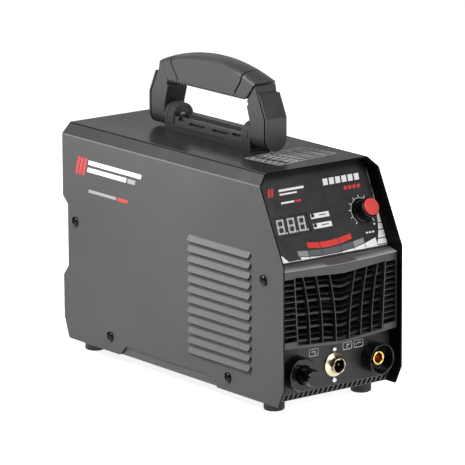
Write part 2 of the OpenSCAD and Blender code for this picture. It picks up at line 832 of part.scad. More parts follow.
module ground_stud() {
  color("goldenrod") place() {
    rod_y(stud_x, stud_z, rear_y - 16, rear_y + 6.8, stud_root_r, 32);
    rod_y(stud_x, stud_z, rear_y + 6.7, rear_y + 20, 3, 32);
    rod_y(stud_x, stud_z, rear_y - rear_t - 4, rear_y - rear_t, 6.4, 6);
  }
}

module ground_nut() {
  color("goldenrod") place() difference() {
    union() {
      rod_y(stud_x, stud_z, rear_y, rear_y + 1.2, 7);
      rod_y(stud_x, stud_z, rear_y + 1.2, rear_y + 6.2, 6.4, 6);
    }
    rod_y(stud_x, stud_z, rear_y - 1, rear_y + 8, stud_root_r + 0.02, 32);
  }
}

// ------------------------------------------------------------------- handle

// Handle parts are drawn with y from the handle's middle and z from its pivot
module at_handle() {
  place() translate([0, handle_y, pivot_z]) children();
}

module mirror_y() {
  children();
  mirror([0, 1, 0]) children();
}

module handle_base() {
  half = base_l / 2;
  cheek = 14.5;
  foot = -pivot_up;
  color([0.34, 0.34, 0.34]) at_handle() difference() {
    union() {
      along_y(-half, half) polygon([
        [-leg_r, foot + 1], [-leg_r + 1, foot], [leg_r - 1, foot], [leg_r, foot + 1],
        [leg_r, foot + 7], [leg_r - 0.9, foot + 7], [7.6, 0.4], [-7.6, 0.4],
        [-leg_r + 0.9, foot + 7], [-leg_r, foot + 7]
      ]);
      mirror_y() {
        rod_y(0, 0, half - cheek, half, leg_r);
        translate([-leg_r, half - cheek, foot]) cube([leg_w, cheek, pivot_up]);
      }
    }
    // Trough along the top
    translate([-4, -half + cheek, -6.5]) cube([8, base_l - 2 * cheek, 12]);
    // Stepped reliefs along both rails
    for (sx = [-1, 1], y = [-26, 2, 30])
      translate([sx * 10.4, y, -3.2]) cube([3, 16, 3.4], center = true);
    mirror_y() rod_y(0, 0, half - cheek + 1.5, half + 1, 3.0, 32);
    for (y = [-30, 30]) {
      translate([0, y, foot - 1]) cylinder(h = 20, r = 2.15, $fn = 32);
      translate([0, y, -8.6]) cylinder(h = 4, r = 3.9, $fn = 32);
    }
  }
}

module handle_base_screws() {
  color("silver") at_handle() for (y = [-30, 30]) translate([0, y, 0]) difference() {
    union() {
      translate([0, 0, -8.5]) cylinder(h = 2.4, r = 3.8, $fn = 32);
      translate([0, 0, -pivot_up - 7]) cylinder(h = pivot_up - 1.2, r = 2.1, $fn = 32);
    }
    for (a = [0, 90]) rotate([0, 0, a])
      translate([0, 0, -6.3]) cube([4.6, 1, 1.8], center = true);
  }
}

module handle_pins() {
  half = base_l / 2;
  color("silver") at_handle() mirror_y()
    rod_y(0, 0, half - 12.9, half + leg_d - 6, 3.0, 32);
}

// Outline of the handle seen from its side, as [y, z] from the pivot line
half_l = handle_l / 2;
function handle_half() = [
  [half_l, -leg_r], [half_l, 19.5], [half_l - 10.3, 41], [half_l - 15.5, 42.5],
  [half_l - 18.5, 51], [half_l - 18.5, 70], [-1, 70], [-1, under_up],
  [half_l - 31, under_up], [half_l - 28.5, 29.5], [half_l - leg_d, 13], [half_l - leg_d, -leg_r]
];

// The grip's crowned section swept round the grip's long curve
module grip_sweep() {
  r = grip_arc;
  w = grip_r;
  translate([0, 0, grip_top - r]) rotate([0, -90, 0]) rotate([0, 0, -30])
    rotate_extrude(angle = 60, $fn = 240)
      polygon([[150, -w], [r - 9, -w], [r - 5, -w + 1.6], [r - 2, -7.5], [r - 0.4, -3],
        [r, 0], [r - 0.4, 3], [r - 2, 7.5], [r - 5, w - 1.6], [r - 9, w], [150, w]]);
}

module insert_outline(grow) {
  polygon([
    [-42 - grow, 36.5 - grow], [42 + grow, 36.5 - grow], [47 + grow, 42], [52 + grow, 50],
    [55 + grow, 56], [-55 - grow, 56], [-52 - grow, 50], [-47 - grow, 42]
  ]);
}

module handle_solid() {
  mirror_y() intersection() {
    along_x(2 * grip_r) polygon(handle_half());
    union() {
      intersection() {
        grip_sweep();
        translate([-grip_r, -half_l - 1, under_up - 6]) cube([2 * grip_r, handle_l + 2, 60]);
      }
      // Legs, rounded below about the pivot line
      translate([-leg_r, -half_l - 1, 0]) cube([leg_w, handle_l + 2, 42]);
      rod_y(0, 0, -half_l - 1, half_l + 1, leg_r);
    }
  }
}

module leg_cap_region(grow) {
  along_x(40) polygon([
    [half_l - 2.4 - grow, -20], [half_l - 2.4 - grow, 19], [half_l - 13 - grow, 42.5],
    [half_l, 42.5], [half_l + 2, 42], [half_l + 2, -20]
  ]);
}

module handle_frame() {
  color([0.36, 0.36, 0.36]) at_handle() difference() {
    handle_solid();
    mirror_y() leg_cap_region(0);
    for (sx = [-1, 1]) translate([sx * (grip_r + 0.4), 0, 0]) along_x(4) insert_outline(0);
    mirror_y() rod_y(0, 0, 60, half_l - 5, 3.05, 32);
  }
}

module handle_leg_caps() {
  color([0.3, 0.3, 0.3]) at_handle() intersection() {
    handle_solid();
    mirror_y() leg_cap_region(-0.25);
  }
}

module handle_side_inserts() {
  color([0.42, 0.43, 0.42]) at_handle() intersection() {
    handle_solid();
    for (sx = [-1, 1]) translate([sx * (grip_r + 0.5), 0, 0]) along_x(3.8)
      insert_outline(-0.25);
  }
}

// -------------------------------------------------------------- electronics

board_z = 34;
board_y0 = 62;
board_y1 = 282;

module main_board() {
  color("darkgreen") place() translate([-60, board_y0, board_z])
    cube([120, board_y1 - board_y0, 1.6]);
}

module board_standoffs() {
  color("silver") place() for (x = [-54, 54], y = [72, 172, 272])
    translate([x, y, pan_z + pan_t]) cylinder(h = board_z - pan_z - pan_t, r = 3.5, $fn = 6);
}

module heatsinks() {
  color("silver") place() for (sx = [-1, 1]) {
    translate([sx * 34 - 20, 190, board_z + 1.6]) cube([40, 84, 6]);
    for (i = [0:8]) translate([sx * 34 - 20 + i * 4.8, 190, board_z + 7.6])
      cube([1.6, 84, 34]);
  }
}

module transformer_core() {
  color([0.15, 0.15, 0.16]) place() translate([0, 155, board_z + 1.6]) difference() {
    translate([-35, -19, 0]) cube([70, 38, 58]);
    for (sx = [-1, 1]) translate([sx * 18, 0, 29]) cube([15, 40, 36], center = true);
  }
}

module transformer_windings() {
  color([0.72, 0.45, 0.2]) place() translate([0, 155, board_z + 1.6 + 29]) difference() {
    cube([49, 56, 32], center = true);
    cube([21.2, 38.4, 60], center = true);
  }
}

module bulk_capacitors() {
  color([0.12, 0.14, 0.3]) place() for (x = [-40, 0, 40])
    translate([x, 82, board_z + 1.6]) cylinder(h = 46, r = 15);
}

module output_inductor() {
  color([0.75, 0.5, 0.25]) place() translate([0, 112, board_z + 28.6]) rotate([90, 0, 0])
    rotate_extrude($fn = 48) polygon([[12, -7], [26, -7], [27, -6], [27, 6], [26, 7], [12, 7],
      [11, 6], [11, -6]]);
}

module solenoid_valve() {
  y1 = rear_y - 26;
  color("darkslategray") place() {
    translate([inlet_x - 14, y1 - 26, inlet_z - 13]) cube([28, 26, 26]);
    translate([inlet_x, y1 - 13, inlet_z + 13]) cylinder(h = 22, r = 8);
    translate([inlet_x - 11, y1 - 24, inlet_z + 17]) cube([22, 22, 16]);
    rod_y(inlet_x, inlet_z, y1 - 36, y1 - 26, 4);
  }
}

module air_hose() {
  front = [torch_x, 44, socket_z];
  over = [-40, 90, 120];
  back = [inlet_x, rear_y - 62, inlet_z];
  up = route(front, front + [0, 16, 0], [torch_x, 40, 110], over, 16);
  along = route(over, over + [2.5, 36, 7], [inlet_x, 200, inlet_z], back, 20);
  color("royalblue") place() tube(concat(up, [for (i = [1:20]) along[i]]), 4, 10);
}

module work_lead() {
  front = [work_x, 42, socket_z];
  over = [44, 76, 96];
  up = route(front, front + [0, 16, 0], [work_x, 40, 94], over, 16);
  down = route(over, over + [-0.6, 14, 0.6], [19, 92, 84], [19, 105, 81], 12);
  color("firebrick") place() tube(concat(up, [for (i = [1:12]) down[i]]), 3.6, 10);
}

cover();
cover_screws();
base_pan();
rubber_feet();
foot_screws();
front_frame();
front_grille();
control_overlay();
display_lens();
display_module();
display_board();
status_leds();
pot_body();
pot_shaft();
knob_body();
knob_cap();
torch_shroud();
torch_connector();
torch_nut();
torch_cap();
control_socket_shell();
control_socket_insert();
control_socket_pins();
control_socket_nut();
control_socket_screws();
work_socket_shell();
work_socket_contact();
work_socket_nut();
rear_panel();
fan_frame();
fan_rotor();
fan_guard();
fan_screws();
switch_housing();
switch_rocker();
cable_gland();
gland_cap_nut();
gland_seal();
gland_locknut();
air_inlet();
inlet_locknut();
ground_stud();
ground_nut();
handle_base();
handle_base_screws();
handle_pins();
handle_frame();
handle_leg_caps();
handle_side_inserts();
main_board();
board_standoffs();
heatsinks();
transformer_core();
transformer_windings();
bulk_capacitors();
output_inductor();
solenoid_valve();
air_hose();
work_lead();
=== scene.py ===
import json
import math

import bmesh
import bpy
from mathutils import Matrix, Vector


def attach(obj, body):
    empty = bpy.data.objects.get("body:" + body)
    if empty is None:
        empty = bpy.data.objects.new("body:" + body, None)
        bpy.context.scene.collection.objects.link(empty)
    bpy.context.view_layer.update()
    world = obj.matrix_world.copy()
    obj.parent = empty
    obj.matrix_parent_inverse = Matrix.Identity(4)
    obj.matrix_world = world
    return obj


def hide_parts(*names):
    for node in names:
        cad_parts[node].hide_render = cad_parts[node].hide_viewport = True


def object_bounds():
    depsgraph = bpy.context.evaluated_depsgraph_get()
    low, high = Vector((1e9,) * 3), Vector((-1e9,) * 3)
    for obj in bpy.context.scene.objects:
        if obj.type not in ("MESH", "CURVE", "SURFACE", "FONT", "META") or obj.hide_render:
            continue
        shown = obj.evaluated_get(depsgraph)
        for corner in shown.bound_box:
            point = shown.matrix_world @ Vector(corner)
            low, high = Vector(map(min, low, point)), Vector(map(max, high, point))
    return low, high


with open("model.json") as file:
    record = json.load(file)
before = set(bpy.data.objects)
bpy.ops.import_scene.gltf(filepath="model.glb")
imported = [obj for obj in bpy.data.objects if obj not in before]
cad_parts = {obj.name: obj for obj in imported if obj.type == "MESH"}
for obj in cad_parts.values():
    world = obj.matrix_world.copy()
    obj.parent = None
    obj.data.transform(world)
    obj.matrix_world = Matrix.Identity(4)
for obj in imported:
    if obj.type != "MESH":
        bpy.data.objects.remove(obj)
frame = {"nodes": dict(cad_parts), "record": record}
CAD_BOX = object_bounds()
NODES = frame["nodes"]
MM = 0.001

# ------------------------------------------------------------------ camera
# The place, the direction and the lens that match the photograph's view.

EYE = Vector((-2.2958, -2.9620, 1.0106))
AHEAD = Vector((0.5995, 0.7721, -0.2108)).normalized()
UPWARD = Vector((0.1326, 0.1639, 0.9775))
SENSOR, FOCAL_LENGTH = 36, 316.64
SHIFT = (0.0012, -0.1525)


def linked(name, data):
    obj = bpy.data.objects.new(name, data)
    bpy.context.scene.collection.objects.link(obj)
    return obj


def make_camera():
    data = bpy.data.cameras.new("camera")
    camera = linked("camera", data)
    right = AHEAD.cross(UPWARD).normalized()
    up = right.cross(AHEAD)
    facing = Matrix((right, up, -AHEAD)).transposed()
    camera.matrix_world = Matrix.Translation(EYE) @ facing.to_4x4()
    data.sensor_width = SENSOR
    data.lens = FOCAL_LENGTH
    data.shift_x, data.shift_y = SHIFT
    data.clip_start, data.clip_end = 0.1, 50
    bpy.context.scene.camera = camera


# --------------------------------------------------------------- materials

# Radius of the edge mask for wear and painted highlight
WEAR_AND_HIGHLIGHT_EDGE = 0.0006


class Tree:
    """Short names for building a material's nodes."""

    def __init__(self, name):
        self.mat = bpy.data.materials.new(name)
        self.mat.use_nodes = True
        self.nt = self.mat.node_tree
        self.nt.nodes.clear()
        self.shader = self.add("ShaderNodeBsdfPrincipled")
        self.add("ShaderNodeOutputMaterial", {0: self.shader.outputs[0]})
        self.coords = self.add("ShaderNodeTexCoord").outputs
        self.at = self.coords["Object"]

    def add(self, kind, inputs={}, **props):
        """A node with its properties set, and a value or a link in each input named."""
        node = self.nt.nodes.new(kind)
        for key, value in props.items():
            setattr(node, key, value)
        for key, value in inputs.items():
            if isinstance(value, bpy.types.NodeSocket):
                self.nt.links.new(value, node.inputs[key])
            else:
                node.inputs[key].default_value = value
        return node

    def fix(self, name, value):
        """Sets a shader socket to a value that is the same all over."""
        self.shader.inputs[name].default_value = value

    def drive(self, name, value):
        """Links a varying value to a shader socket."""
        self.nt.links.new(value, self.shader.inputs[name])

    def split(self, vector):
        """The x, y and z of a vector."""
        return self.add("ShaderNodeSeparateXYZ", {0: vector}).outputs

    def stretch(self, scale):
        return self.add("ShaderNodeMapping", {"Vector": self.at, "Scale": scale}).outputs[0]

    def noise(self, scale, detail=3, rough=0.5, at=None):
        inputs = {"Vector": at or self.at, "Scale": scale, "Detail": detail, "Roughness": rough}
        return self.add("ShaderNodeTexNoise", inputs).outputs["Fac"]

    def spread(self, value, low, high, start=0.3, end=0.7):
        """Takes the range from start to end to the one from low to high."""
        inputs = {"Value": value, "From Min": start, "From Max": end, "To Min": low, "To Max": high}
        return self.add("ShaderNodeMapRange", inputs).outputs[0]

    def math(self, kind, a, b=0):
        return self.add("ShaderNodeMath", {0: a, 1: b}, operation=kind).outputs[0]

    def less(self, a, b):
        return self.math("LESS_THAN", a, b)

    def more(self, a, b):
        return self.math("GREATER_THAN", a, b)

    def both(self, a, b):
        return self.math("MULTIPLY", a, b)

    def either(self, a, b):
        return self.math("MAXIMUM", a, b)

    def around(self, value, middle, reach):
        """1 where the value is within reach of the middle, 0 elsewhere."""
        return self.less(self.math("ABSOLUTE", self.math("SUBTRACT", value, middle)), reach)

    def ramp(self, value, low, high):
        """The low colour up to 0.3 of the value, the high one from 0.7."""
        node = self.add("ShaderNodeValToRGB", {0: value})
        for element, place, colour in zip(node.color_ramp.elements, (0.3, 0.7), (low, high)):
            element.position = place
            element.color = (*colour, 1)
        return node.outputs[0]

    def mix(self, fac, a, b):
        """Between a, a socket, and b, a colour."""
        return self.add("ShaderNodeMix", {0: fac, 6: a, 7: (*b, 1)}, data_type="RGBA").outputs[2]

    def soft_normal(self, radius):
        return self.add("ShaderNodeBevel", {"Radius": radius}, samples=4).outputs[0]

    def bump(self, height, depth, radius):
        """Grain of that depth in metres, over edges rounded to a small radius."""
        inputs = {"Strength": 1, "Distance": depth, "Height": height}
        if radius:
            inputs["Normal"] = self.soft_normal(radius)
        self.drive("Normal", self.add("ShaderNodeBump", inputs).outputs[0])

    def edges(self):
        """1 along edges, for wear and painted highlight, 0 elsewhere."""
        normals = {0: self.soft_normal(WEAR_AND_HIGHLIGHT_EDGE), 1: self.add("ShaderNodeNewGeometry").outputs["Normal"]}
        dot = self.add("ShaderNodeVectorMath", normals, operation="DOT_PRODUCT")
        return self.spread(dot.outputs["Value"], 1, 0, 0.8, 0.99)


def grey(value, blue=None):
    return (value, value, value if blue is None else blue)


def shade(colour, factor):
    return tuple(min(1, c * factor) for c in colour)


def grained(name, colour, rough, metal=0.0, cloud=12, grain=1500, depth=4e-5, edge=1.25,
            spec=0.5, streak=None, soft=0.0003, painted_light_and_tone=None):
    """A surface with slow changes of tone, fine grain, patchy gloss, and edges made paler by wear and painted
    highlight.
    """
    t = Tree(name)
    body = t.ramp(t.noise(cloud, 4), shade(colour, 0.9), shade(colour, 1.1))
    if streak:
        lines = t.noise(1, 3, 0.6, t.stretch(streak))
        body = t.mix(t.spread(lines, 0, 0.6), body, shade(colour, 0.72))
    if edge:
        # Paler edges: wear and painted highlight, broken up by noise
        wear_and_highlight = t.both(t.edges(), t.spread(t.noise(260, 3), 0.2, 1))
        body = t.mix(wear_and_highlight, body, shade(colour, edge))
    t.drive("Roughness", t.spread(t.noise(cloud * 6, 5), rough * 0.86, rough * 1.14))
    t.fix("Metallic", metal)
    t.fix("Specular IOR Level", spec)
    # Painted light and shade, and the cover's two-tone paint, where a surface has them
    if painted_light_and_tone:
        body = painted_light_and_tone(t, body, spec)
    t.drive("Base Color", body)
    t.bump(t.noise(grain, 2), depth, soft)
    return t.mat


# Places on the cover, in metres in the frame: just behind and just before the
# outer faces of its sides, how far out a louvre stands, the upper folds'
# distance from the middle, the lower folds' height, and a height above the prints.
BEHIND_SIDE, BEFORE_SIDE, LOUVRE_OUT = 0.0698, 0.0701, 0.0707
UPPER_FOLD_X, LOWER_FOLD_Z = 0.05995, 0.2112
ROOF_Z = 0.2


def folded_sheet(t, body, spec):
    """Black paint inside and below; painted shade in hollows, on front faces, along the upper folds and over
    the top, darkest at its front; painted light on the louvres; a painted highlight on the lower folds.
    """
    x, y, z = t.split(t.at)
    nx, ny, nz = t.split(t.coords["Normal"])
    aside = t.math("ABSOLUTE", x)
    inward = t.less(t.both(x, nx), -0.012)
    below = t.both(t.less(nz, -0.8), t.less(aside, BEFORE_SIDE))
    # Painted shade in the grooves under the louvres, in the windows and in the screw holes
    hollow_shade = t.both(t.both(t.less(aside, BEHIND_SIDE), t.less(nz, 0.2)), t.less(z, ROOF_Z))
    # Painted shade on faces turned to the front, such as the louvres' front ends
    front = t.spread(ny, 1, 0, -0.5, -0.15)
    # Painted shade along the upper folds
    crease = t.both(t.around(aside, UPPER_FOLD_X, 0.00105), t.more(nz, 0.5))
    # Black paint inside and below, joined with the painted shade
    dark = t.either(t.either(inward, t.either(below, hollow_shade)), t.either(front, crease))
    # Painted shade: the top and its bevels darker than the sides, the flat top darker still
    roof_shade = t.both(t.spread(nz, 0, 1, 0.25, 0.6), t.more(z, ROOF_Z))
    flat = t.both(t.spread(nz, 0, 1, 0.85, 0.98), roof_shade)
    # Painted reflection of the dark handle on the top, darkest at the front
    top_front_shade = t.both(flat, t.spread(y, 0.85, 0, -0.12, 0.1))     # fades towards the back
    # Painted light: the louvres paler where they stand out
    louvre = t.spread(aside, 0, 1, BEFORE_SIDE, LOUVRE_OUT)
    # Painted highlight along the lower folds
    fold_highlight = t.both(t.around(z, LOWER_FOLD_Z, 0.0006), t.more(aside, 0.0688))
    for mask, colour in ((roof_shade, grey(0.034, 0.033)), (flat, grey(0.018, 0.0175)),
                         (louvre, grey(0.14, 0.136)), (fold_highlight, grey(0.12, 0.117)),
                         (top_front_shade, grey(0.012)), (dark, grey(0.006))):
        body = t.mix(mask, body, colour)
    dull = t.either(t.either(dark, t.math("SUBTRACT", 0.8, roof_shade)), top_front_shade)
    t.drive("Specular IOR Level", t.spread(dull, spec, 0.05, 0, 1))
    rough = t.shader.inputs["Roughness"].links[0].from_socket
    t.drive("Roughness", t.both(rough, t.spread(flat, 1, 0.66, 0, 1)))
    return body


def shaded_foot(t, body, spec):
    """Darker towards the handle's pivot, where the case keeps the light away."""
    z = t.split(t.at)[2]
    return t.mix(t.spread(z, 0.72, 0, 0.222, 0.262), body, grey(0.008))


def painted_top_light(t, body, spec):
    """Painted light on upward faces, and a painted highlight along their front edges."""
    rise = t.split(t.coords["Normal"])[2]
    tone = t.mix(t.spread(rise, 0, 1, 0.7, 0.95), body, grey(0.09, 0.088))
    # Painted highlight along the rounded edge between upward and front faces
    line = t.both(t.spread(rise, 0, 1, 0.25, 0.5), t.spread(rise, 1, 0, 0.8, 0.95))
    return t.mix(line, tone, grey(0.42, 0.41))


def painted_glow(t, body, spec):
    # Painted light: a faint glow that makes the unlit digit outlines paler
    t.fix("Emission Color", (1, 1, 0.97, 1))
    t.fix("Emission Strength", 0.35)
    return body


def smoked(name):
    """A dark clear plastic."""
    t = Tree(name)
    t.drive("Base Color", t.ramp(t.noise(200, 3), grey(0.022), grey(0.026)))
    t.drive("Roughness", t.spread(t.noise(60, 3), 0.28, 0.36))
    t.fix("Alpha", 0.12)
    t.bump(t.noise(2500, 1), 4e-6, 0)
    return t.mat


# Colour, roughness, and what differs from the usual grain, in metres; edge sets how pale the edges get, from
# wear and painted highlight
PAINT = dict(grain=1400, depth=3e-5)
FILM = dict(grain=3000, edge=0)
METAL = dict(metal=1, grain=2200, edge=1.2)
PRINT = dict(grain=2600, depth=6e-6, edge=0, soft=0, spec=0.4)
FINISHES = {
    "cover_paint": (grey(0.074, 0.072), 0.33, dict(PAINT, cloud=7, edge=1.35, painted_light_and_tone=folded_sheet)),
    "pan_paint": (grey(0.035), 0.5, PAINT),
    "black_screw": (grey(0.004), 0.22, dict(grain=2500, depth=4e-6, edge=0, spec=0.16)),
    "front_plastic": (grey(0.016), 0.42, dict(grain=1800, depth=2e-5, edge=2, spec=0.35)),
    # edge 3: the grille's pale edges are mostly painted highlight
    "grille_plastic": (grey(0.04), 0.42, dict(grain=1800, depth=1e-5, edge=3, painted_light_and_tone=painted_top_light)),
    "overlay_film": (grey(0.024), 0.34, dict(FILM, depth=6e-6)),
    # The digits' outlines glow a little: painted light
    "display_face": (grey(0.8, 0.78), 0.5, dict(FILM, depth=8e-6, painted_light_and_tone=painted_glow)),
    "circuit_board": ((0.006, 0.05, 0.02), 0.3, dict(grain=700, depth=3e-5)),
    "led_plastic": (grey(0.012), 0.18, dict(grain=2500, depth=5e-6, edge=0)),
    # edge 10: the pale rims here are painted highlight
    "black_plastic": (grey(0.006), 0.16, dict(grain=2200, depth=5e-6, edge=10, spec=0.3)),
    "red_plastic": ((0.72, 0.055, 0.045), 0.38, dict(grain=2200, depth=1e-5, edge=1.1)),
    "zinc": (grey(0.62, 0.63), 0.28, dict(METAL, depth=1e-5)),
    "nickel": ((0.62, 0.55, 0.38), 0.24, dict(METAL, depth=8e-6)),
    "brass": ((0.72, 0.46, 0.14), 0.24, dict(METAL, depth=1e-5)),
    "soft_rubber": (grey(0.012), 0.65, dict(edge=1.6)),
    "handle_plastic": (grey(0.033, 0.032), 0.34, dict(depth=3e-5, edge=2.4, painted_light_and_tone=shaded_foot)),
    "grip_plastic": ((0.031, 0.0325, 0.031), 0.38, dict(edge=1.4)),
    "aluminium": (grey(0.3, 0.31), 0.35, dict(metal=1, streak=(30, 2, 900))),
    "ferrite": (grey(0.02, 0.022), 0.6, dict(grain=900)),
    "copper_wire": ((0.25, 0.09, 0.03), 0.3, dict(metal=0.9, streak=(20, 20, 1400))),
    "capacitor_sleeve": ((0.006, 0.007, 0.012), 0.3, {}),
    "hose_blue": ((0.01, 0.025, 0.1), 0.4, {}),
    "lead_red": ((0.07, 0.006, 0.005), 0.45, {}),
    "slat_black": (grey(0.03), 0.36, dict(PRINT, spec=0.5)),
    # A near-black copy of the plastics: painted shade inside the grille and in the handle's seams
    "painted_shade_black": (grey(0.005), 0.42, dict(PRINT, spec=0.35)),
    # Brass darkened into painted shade, for pins deep inside the connectors
    "painted_shade_gold": ((0.12, 0.08, 0.03), 0.3, dict(PRINT, spec=0.5)),
    "print_white": (grey(0.9, 0.89), 0.35, PRINT),
    "print_red": ((0.75, 0.045, 0.04), 0.35, PRINT),
    "print_grey": (grey(0.3), 0.35, PRINT),
    "print_slate": ((0.11, 0.115, 0.13), 0.35, PRINT),
    "print_pale": (grey(0.55), 0.4, PRINT),
    "label_black": (grey(0.02), 0.35, PRINT),
    "display_black": (grey(0.03), 0.4, dict(PRINT, spec=0.5)),
}
MAT = {name: grained(name, colour, rough, **extra) for name, (colour, rough, extra) in FINISHES.items()}
MAT["smoked_lens"] = smoked("smoked_lens")

# ---------------------------------------------------------------- geometry


def shift(x=0, y=0, z=0):
    return Matrix.Translation((x, y, z))


def turn(degrees, axis):
    return Matrix.Rotation(math.radians(degrees), 4, axis)


# Shapes are drawn in the case's own millimetres: x across, y from the cover's
# front edge, z from its lower edge. PLACE takes them to the frame. PANEL and
# FRONT take flat drawings to the sloping panel and to the front's lower face,
# and HANDLE takes the handle's, which begin at its pivot.

PLACE = Matrix.Scale(MM, 4) @ shift(0, -170, 10.5)
PANEL_FOOT = (18.6, 130.4)
PANEL = shift(0, *PANEL_FOOT) @ turn(90 - 25.7, "X")
HANDLE = shift(0, 187.5, 225.5)
FRONT = shift(0, 16, 0) @ turn(90, "X")

# The cover, and half the width of what fits between its sides
HALF_W, HEIGHT, LENGTH, SHEET = 70, 211, 340, 1.5
INSIDE = 68.2
# On the panel: the knob, the middle of the display, and the two lights
KNOB = (49.7, 34.7)
DISPLAY = (-33, 33)
LIGHTS = ((-7.8, 38.6), (-7.8, 29.1))
# The three connectors on the front
TORCH_X, TRIGGER_X, WORK_X, SOCKET_Z = -43.5, 2.0, 48.0, 27.5


def rounded(points, radius, steps=5):
    """An outline with its corners rounded, by one radius or by one for each corner."""
    out = []
    for i, p in enumerate(points):
        r = radius[i] if isinstance(radius, (list, tuple)) else radius
        b = Vector(p)
        u = Vector(points[i - 1]) - b
        v = Vector(points[(i + 1) % len(points)]) - b
        half = u.angle(v) / 2
        if r <= 0 or half > 1.5:
            out.append((b.x, b.y))
            continue
        back = min(r / math.tan(half), u.length * 0.49, v.length * 0.49)
        r = back * math.tan(half)
        u.normalize()
        v.normalize()
        centre = b + (u + v).normalized() * (r / math.sin(half))
        start = b + u * back - centre
        end = b + v * back - centre
        sweep = math.atan2(start.x * end.y - start.y * end.x, start.dot(end))
        for k in range(steps + 1):
            a = sweep * k / steps
            out.append((centre.x + start.x * math.cos(a) - start.y * math.sin(a),
                        centre.y + start.x * math.sin(a) + start.y * math.cos(a)))
    return out


def circle(r, x=0, y=0, n=48):
    turns = [2 * math.pi * k / n for k in range(n)]
    return [(x + r * math.cos(a), y + r * math.sin(a)) for a in turns]


def rect(x0, y0, x1, y1):
    return [(x0, y0), (x1, y0), (x1, y1), (x0, y1)]


def oblong(w, h, r, x=0, y=0, steps=5):
    """A rectangle round x, y with rounded corners."""
    w, h = w / 2, h / 2
    return rounded(rect(x - w, y - h, x + w, y + h), r, steps)


def level(outline, z):
    return [(x, y, z) for x, y in outline]


def flipped(outline):
    return [(-x, y) for x, y in outline]


def along(axis, p, d):
    return {"x": (d, p[0], p[1]), "y": (p[0], d, p[1]), "z": (p[0], p[1], d)}[axis]


def skin(rings, closed=False):
    """A closed solid through rings of points; closed joins the last ring to the first."""
    bm = bmesh.new()
    rows = [[bm.verts.new(p) for p in ring] for ring in rings]
    count = len(rows[0])
    for a, b in zip(rows, rows[1:] + (rows[:1] if closed else [])):
        for k in range(count):
            n = (k + 1) % count
            bm.faces.new((a[k], a[n], b[n], b[k]))
    if not closed:
        bm.faces.new(rows[0][::-1])
        bm.faces.new(rows[-1])
    bmesh.ops.recalc_face_normals(bm, faces=bm.faces)
    return bm


def prism(outline, axis, a, b):
    return skin([[along(axis, p, a) for p in outline], [along(axis, p, b) for p in outline]])


def beside(outline, side, near, far):
    """A prism on one side, -1 or 1, between two distances from the middle."""
    return prism(outline, "x", *sorted((side * near, side * far)))


def flat_ring(outer, inner, height):
    """A thin film between two outlines."""
    loops = ((outer, 0), (outer, height), (inner, height), (inner, 0))
    return skin([level(loop, z) for loop, z in loops], closed=True)


def lathe(outline, steps=96):
    """Turns a closed outline of (radius, height) about Z. Points on the axis have radius 0."""
    bm = bmesh.new()
    rows = []
    for r, h in outline:
        ring = level(circle(r, n=steps), h) if r else [(0, 0, h)]
        rows.append([bm.verts.new(p) for p in ring])
    for a, b in zip(rows, rows[1:] + rows[:1]):
        if len(a) == 1 and len(b) == 1:
            continue
        for k in range(steps):
            n = (k + 1) % steps
            corners = a[k % len(a)], a[n % len(a)], b[n % len(b)], b[k % len(b)]
            bm.faces.new(list(dict.fromkeys(corners)))
    bmesh.ops.recalc_face_normals(bm, faces=bm.faces)
    return bm


def moved(bm, matrix):
    bm.transform(matrix)
    if matrix.determinant() < 0:
        bmesh.ops.reverse_faces(bm, faces=bm.faces)
    return bm


def to_y(x, z):
    """Stands a turned shape's axis along Y: its heights become places along Y."""
    return shift(x, 0, z) @ turn(-90, "X")


def joined(*parts):
    out = bmesh.new()
    for part in parts:
        mesh = bpy.data.meshes.new("part")
        part.to_mesh(mesh)
        out.from_mesh(mesh)
        bpy.data.meshes.remove(mesh)
        part.free()
    return out


def mirrored(bm, axis=0):
    flip = Matrix.Identity(4)
    flip[axis][axis] = -1
    return joined(moved(bm.copy(), flip), bm)


def as_object(bm, name):
    mesh = bpy.data.meshes.new(name)
    bm.to_mesh(mesh)
    bm.free()
    return linked(name, mesh)


def discard(obj):
    data = obj.data
    bpy.data.objects.remove(obj)
    bpy.data.meshes.remove(data)


def applied(obj):
    """What an object's modifiers make of its mesh. The object itself goes."""
    depsgraph = bpy.context.evaluated_depsgraph_get()
    mesh = bpy.data.meshes.new_from_object(obj.evaluated_get(depsgraph))
    out = bmesh.new()
    out.from_mesh(mesh)
    bpy.data.meshes.remove(mesh)
    discard(obj)
    return out


def carved(bm, tool, kind="DIFFERENCE"):
    """One exact boolean between two solids. Large many-sided faces come out as triangles."""
    a, b = as_object(bm, "carve_a"), as_object(tool, "carve_b")
    mod = a.modifiers.new("cut", "BOOLEAN")
    mod.operation = kind
    mod.solver = "EXACT"
    mod.object = b
    out = applied(a)
    discard(b)
    bmesh.ops.remove_doubles(out, verts=out.verts, dist=0.002)
    bmesh.ops.triangulate(out, faces=[f for f in out.faces if len(f.verts) > 4])
    return out


SHARP_EDGE = 32


def add_bevel(obj, width, segments, angle=SHARP_EDGE):
    bevel = obj.modifiers.new("bevel", "BEVEL")
    bevel.width = width * MM
    bevel.segments = segments
    bevel.limit_method = "ANGLE"
    bevel.angle_limit = math.radians(angle)
    bevel.miter_outer = "MITER_ARC"


